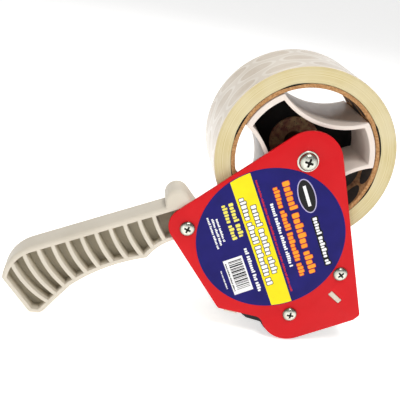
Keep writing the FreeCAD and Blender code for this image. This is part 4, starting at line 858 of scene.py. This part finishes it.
# ---------- tape roll, core and springs
# the outer wrap is drawn as a skin of its own; the turns under it stop short of the roll's ends
WRAP_THICK, WRAP_SETBACK, WRAP_EDGE, WRAP_SIDES = 0.3, 0.1, 0.15, 160
TURNS_SETBACK, TURNS_SLACK, TURNS_CLEAR = 0.15, 0.12, 0.02
TURNS_DRAWN, TURNS_STAGGER, TURNS_SIDES, TURNS_SEED = 34, 0.06, 128, 5
CARD_EDGE_IN, CARD_EDGE_OUT, CARD_SIDES = 0.25, 0.2, 128
# painted-shade rings in the gap where film has come away from the core: how far they stand proud, reach in,
# and their widths
GAP_PROUD, GAP_REACH, GAP_LEAST, GAP_MOST = 0.03, 6, 0.04, 0.42
GAP_WAVES, GAP_SIDES, GAP_SEED = (2, 3, 5, 8), 240, 4
# springs: wire radius and turns
SPRINGS = {"tension_spring": (0.7, 2.9), "flap_spring": (0.3, 4.0)}
SPRING_STEPS, WIRE_SIDES = 36, 12


def hub_ring(profile, sides):
    """A closed ring round the hub axis from a (depth, radius) profile, with a wrapped UV map."""
    work = bmesh.new()
    layer = work.loops.layers.uv.new("wrap")
    rings = [[work.verts.new(on_plate(radius, turn, y)) for turn in turns_of(sides)]
             for y, radius in profile]
    for j in range(len(profile)):
        after = (j + 1) % len(profile)
        for k in range(sides):
            step = (k + 1) % sides
            face = work.faces.new((rings[j][k], rings[j][step], rings[after][step], rings[after][k]))
            for loop, (ring, column) in zip(face.loops, ((j, k), (j, k + 1), (after, k + 1), (after, k))):
                loop[layer].uv = (2 * math.pi * column / sides * ROLL_RADIUS * MM, profile[ring][0] * MM)
    return finished(work, "hub_ring")


def make_tape():
    """The wound turns, the outer wrap and the card core."""
    under = ROLL_RADIUS - WRAP_THICK
    near, far = ROLL_NEAR + TURNS_SETBACK, ROLL_FAR - TURNS_SETBACK
    mesh = run_tree(wound_tape_tree(), bpy.data.meshes.new("start"), "wound", Bands=TURNS_DRAWN,
                    Inner=CORE_RADIUS + TURNS_CLEAR, Outer=under, Width=far - near - TURNS_SLACK,
                    Stagger=TURNS_STAGGER, Sides=TURNS_SIDES, Seed=TURNS_SEED)
    mesh.transform(ROW @ Matrix.Translation((0, (near + far) / 2, 0)) @ Matrix.Rotation(math.pi / 2, 4, "X"))
    work = bmesh.new()
    work.from_mesh(mesh)
    piece("tape_turns", finished(work, "tape_turns"), "wound", "tape", ("tape_roll",))
    near, far, edge = ROLL_NEAR + WRAP_SETBACK, ROLL_FAR - WRAP_SETBACK, ROLL_RADIUS - WRAP_EDGE
    wrap = [(near, under), (near, edge), (near + WRAP_EDGE, ROLL_RADIUS), (far - WRAP_EDGE, ROLL_RADIUS),
            (far, edge), (far, under)]
    piece("tape_outer_wrap", hub_ring(wrap, WRAP_SIDES), "film", "tape")
    inner, outer = CORE_RADIUS - CORE_WALL, CORE_RADIUS - CARD_EDGE_OUT
    card = [(ROLL_NEAR, inner + CARD_EDGE_IN), (ROLL_NEAR, outer), (ROLL_NEAR + CARD_EDGE_OUT, CORE_RADIUS),
            (ROLL_FAR - CARD_EDGE_OUT, CORE_RADIUS), (ROLL_FAR, outer), (ROLL_FAR, inner + CARD_EDGE_IN),
            (ROLL_FAR - CARD_EDGE_IN, inner), (ROLL_NEAR + CARD_EDGE_IN, inner)]
    piece("tape_core_card", hub_ring(card, CARD_SIDES), "card", "tape", ("tape_core",))


def make_core_gap():
    """Dark rings of painted shade at both ends, in the gap where the film has come a little away from its
    core.
    """
    draw = random.Random(GAP_SEED)
    waves = [(count, draw.uniform(0.0, 2 * math.pi), draw.uniform(0.5, 1.0)) for count in GAP_WAVES]
    for name, face, out in (("near", ROLL_NEAR, -GAP_PROUD), ("far", ROLL_FAR, GAP_PROUD)):
        work = bmesh.new()
        rings = [[], [], [], []]
        proud, sunk = face + out, face - GAP_REACH * out
        for turn in turns_of(GAP_SIDES):
            swell = sum(share * math.sin(count * turn + start) for count, start, share in waves)
            wide = GAP_LEAST + GAP_MOST * max(0.0, min(1.0, swell))
            for ring, side, y in zip(rings, (-wide, wide, wide, -wide), (proud, proud, sunk, sunk)):
                ring.append(work.verts.new(on_plate(CORE_RADIUS + side, turn, y)))
        for first, second in zip(rings, rings[1:] + rings[:1]):
            for i in range(GAP_SIDES):
                work.faces.new((first[i - 1], first[i], second[i], second[i - 1]))
        # each ring is near-black painted shade
        piece("tape_core_gap_" + name, finished(work, "core_gap"), "painted_shade", "tape")


def make_springs():
    """The tension spring behind the hub and the flap's small return spring."""
    tree = coil_spring_tree()
    for node, (wire, turns) in SPRINGS.items():
        low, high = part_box(node)
        travel = (high.y - low.y) / MM - 2 * wire
        mesh = run_tree(tree, bpy.data.meshes.new("start"), "steel", Radius=(radius_of(node) - wire) * MM,
                        Wire=wire * MM, Turns=turns, Travel=travel * MM, Steps=SPRING_STEPS,
                        Sides=WIRE_SIDES)
        middle = (low + high) / 2
        mesh.transform(Matrix.Translation((middle.x, low.y + wire * MM, middle.z))
                       @ Matrix.Rotation(-math.pi / 2, 4, "X"))
        work = bmesh.new()
        work.from_mesh(mesh)
        bmesh.ops.remove_doubles(work, verts=work.verts, dist=SAME_POINT / 2)
        piece(node + "_wire", finished(work, node), "steel", "frame", (node,))


# ---------- the other pieces
# CAD piece, its new name, finish, body, slot, edge width in mm and steps round the edge
SOFTENED = [
    ("side_plate", "side_plate_enamel", "red", "frame", "plate_red", 0.3, 3),
    ("handle", "handle_moulding", "abs", "frame", "handle_ivory", 0.35, 2),
    ("hub", "hub_moulding", "styrene", "hub", "hub_ivory", 0.35, 2),
    ("nose_bracket", "nose_bracket_coated", "powder", "frame", "bracket_black", 0.25, 2),
    ("blade_holder", "blade_holder_moulding", "abs", "frame", "handle_ivory", 0.25, 2),
    ("press_roller_sleeve", "press_roller_rubber", "rubber", "press_roller", "roller_rubber", 0.6, 3),
    ("tension_knob", "tension_knob_moulding", "knob", "knob", "knob_black", 0.4, 3),
    ("guide_roller", "guide_roller_moulding", "nylon", "guide_roller", "guide_nylon", 0.15, 2),
    ("friction_washer", "friction_washer_fibre", "fibre", "frame", "fibre_brown", 0.3, 2),
    ("tape_flap", "tape_flap_moulding", "milky", "flap", "flap_clear", 0.12, 2),
    ("hub_post", "hub_post_oxide", "oxide", "frame", "post_black", 0.3, 2),
]
# CAD pieces whose shape is right already
FINISHED_NODES = {
    # the hub's end plate takes the near-black painted shade of the hub's depths
    "hub_end_plate": "dark", "hub_bushing": "acetal", "thrust_washer": "steel",
    "press_roller_core": "acetal", "press_roller_axle": "steel", "guide_roller_axle": "steel",
    "blade": "strip", "blade_rivets": "rivet", "flap_pin": "steel", "handle_insert": "brass",
}


# ---------- stage, light and camera
# the camera's turn and rise in degrees about a point on the plate's axes, its reach and its lens, in mm
VIEW_TURN, VIEW_RISE, VIEW_REACH, VIEW_LENS, SENSOR_WIDE = -4.913, 21.817, 388.4, 65.89, 36.0
VIEW_AIM = (-57.15, 0.0, -19.965)
NEAREST_SEEN = 0.01
FLOOR_HALF = 6.0
# lamps: place in metres, size and power; all point at the middle of the dispenser
LAMPS = {"key": ((0.1, -0.6, 0.95), 0.35, 5.0), "fill": ((-0.6, -0.8, 0.3), 0.7, 0.9),
         "back": ((0.1, 0.9, 0.8), 0.8, 2.0), "top": ((0.1, 0.1, 1.0), 0.5, 2.9)}
LAMP_AIM = Vector((0.0, 0.0, 0.07))
# the studio's walls: bright up to one height of the view's direction and dim above another
WALL_BRIGHT, WALL_DIM, BRIGHT, DIM = 0.05, 0.3, 1.0, 0.22


def make_camera():
    """The camera looks down at the plate from a little left of square, level with its axes."""
    turn, rise = math.radians(VIEW_TURN), math.radians(VIEW_RISE)
    back = Vector((math.sin(turn) * math.cos(rise), -math.cos(turn) * math.cos(rise), math.sin(rise)))
    right = (-back).cross(Vector((0, 0, 1))).normalized()
    axes = Matrix((right, back.cross(right), back)).transposed().to_4x4()
    data = bpy.data.cameras.new("camera")
    data.lens = VIEW_LENS
    data.sensor_width = SENSOR_WIDE
    data.clip_start = NEAREST_SEEN
    camera = put("camera", data)
    place, spin, _ = (ROW @ Matrix.Translation(Vector(VIEW_AIM) + back * VIEW_REACH) @ axes).decompose()
    camera.location = place
    camera.rotation_mode = "QUATERNION"
    camera.rotation_quaternion = spin
    bpy.context.scene.camera = camera


def make_light(name, place, size, power):
    """A square soft lamp."""
    data = bpy.data.lights.new(name, "AREA")
    data.size = size
    data.energy = power
    lamp = put(name, data)
    lamp.location = place
    lamp.rotation_mode = "QUATERNION"
    lamp.rotation_quaternion = (LAMP_AIM - Vector(place)).to_track_quat("-Z", "Y")


def make_stage():
    """A plain pale floor, four soft lamps and a studio that is bright at floor height."""
    work = bmesh.new()
    work.faces.new([work.verts.new((x * FLOOR_HALF, y * FLOOR_HALF, 0.0))
                    for x, y in ((-1, -1), (1, -1), (1, 1), (-1, 1))])
    mesh = bpy.data.meshes.new("floor")
    work.to_mesh(mesh)
    work.free()
    mesh.materials.append(FINISH["opal"])
    put("floor", mesh)
    for name, lamp in LAMPS.items():
        make_light(name, *lamp)
    world = bpy.data.worlds.new("studio")
    world.use_nodes = True
    sky = world.node_tree
    way = add(sky, "ShaderNodeTexCoord").outputs["Generated"]
    upward = add(sky, "ShaderNodeSeparateXYZ", {"Vector": way})
    dimmed = add(sky, "ShaderNodeMapRange", {
        "Value": upward.outputs["Z"], "From Min": WALL_BRIGHT, "From Max": WALL_DIM,
        "To Min": BRIGHT, "To Max": DIM})
    sky.nodes["Background"].inputs["Color"].default_value = (1.0, 1.0, 1.0, 1.0)
    sky.links.new(dimmed.outputs["Result"], sky.nodes["Background"].inputs["Strength"])
    bpy.context.scene.world = world
    bpy.context.scene.view_settings.view_transform = "Standard"


make_camera()
for row in SOFTENED:
    soften(*row)
for node, finish in FINISHED_NODES.items():
    finish_node(node, finish)
make_label()
make_screws()
make_tape()
make_core_gap()
make_springs()
make_stage()
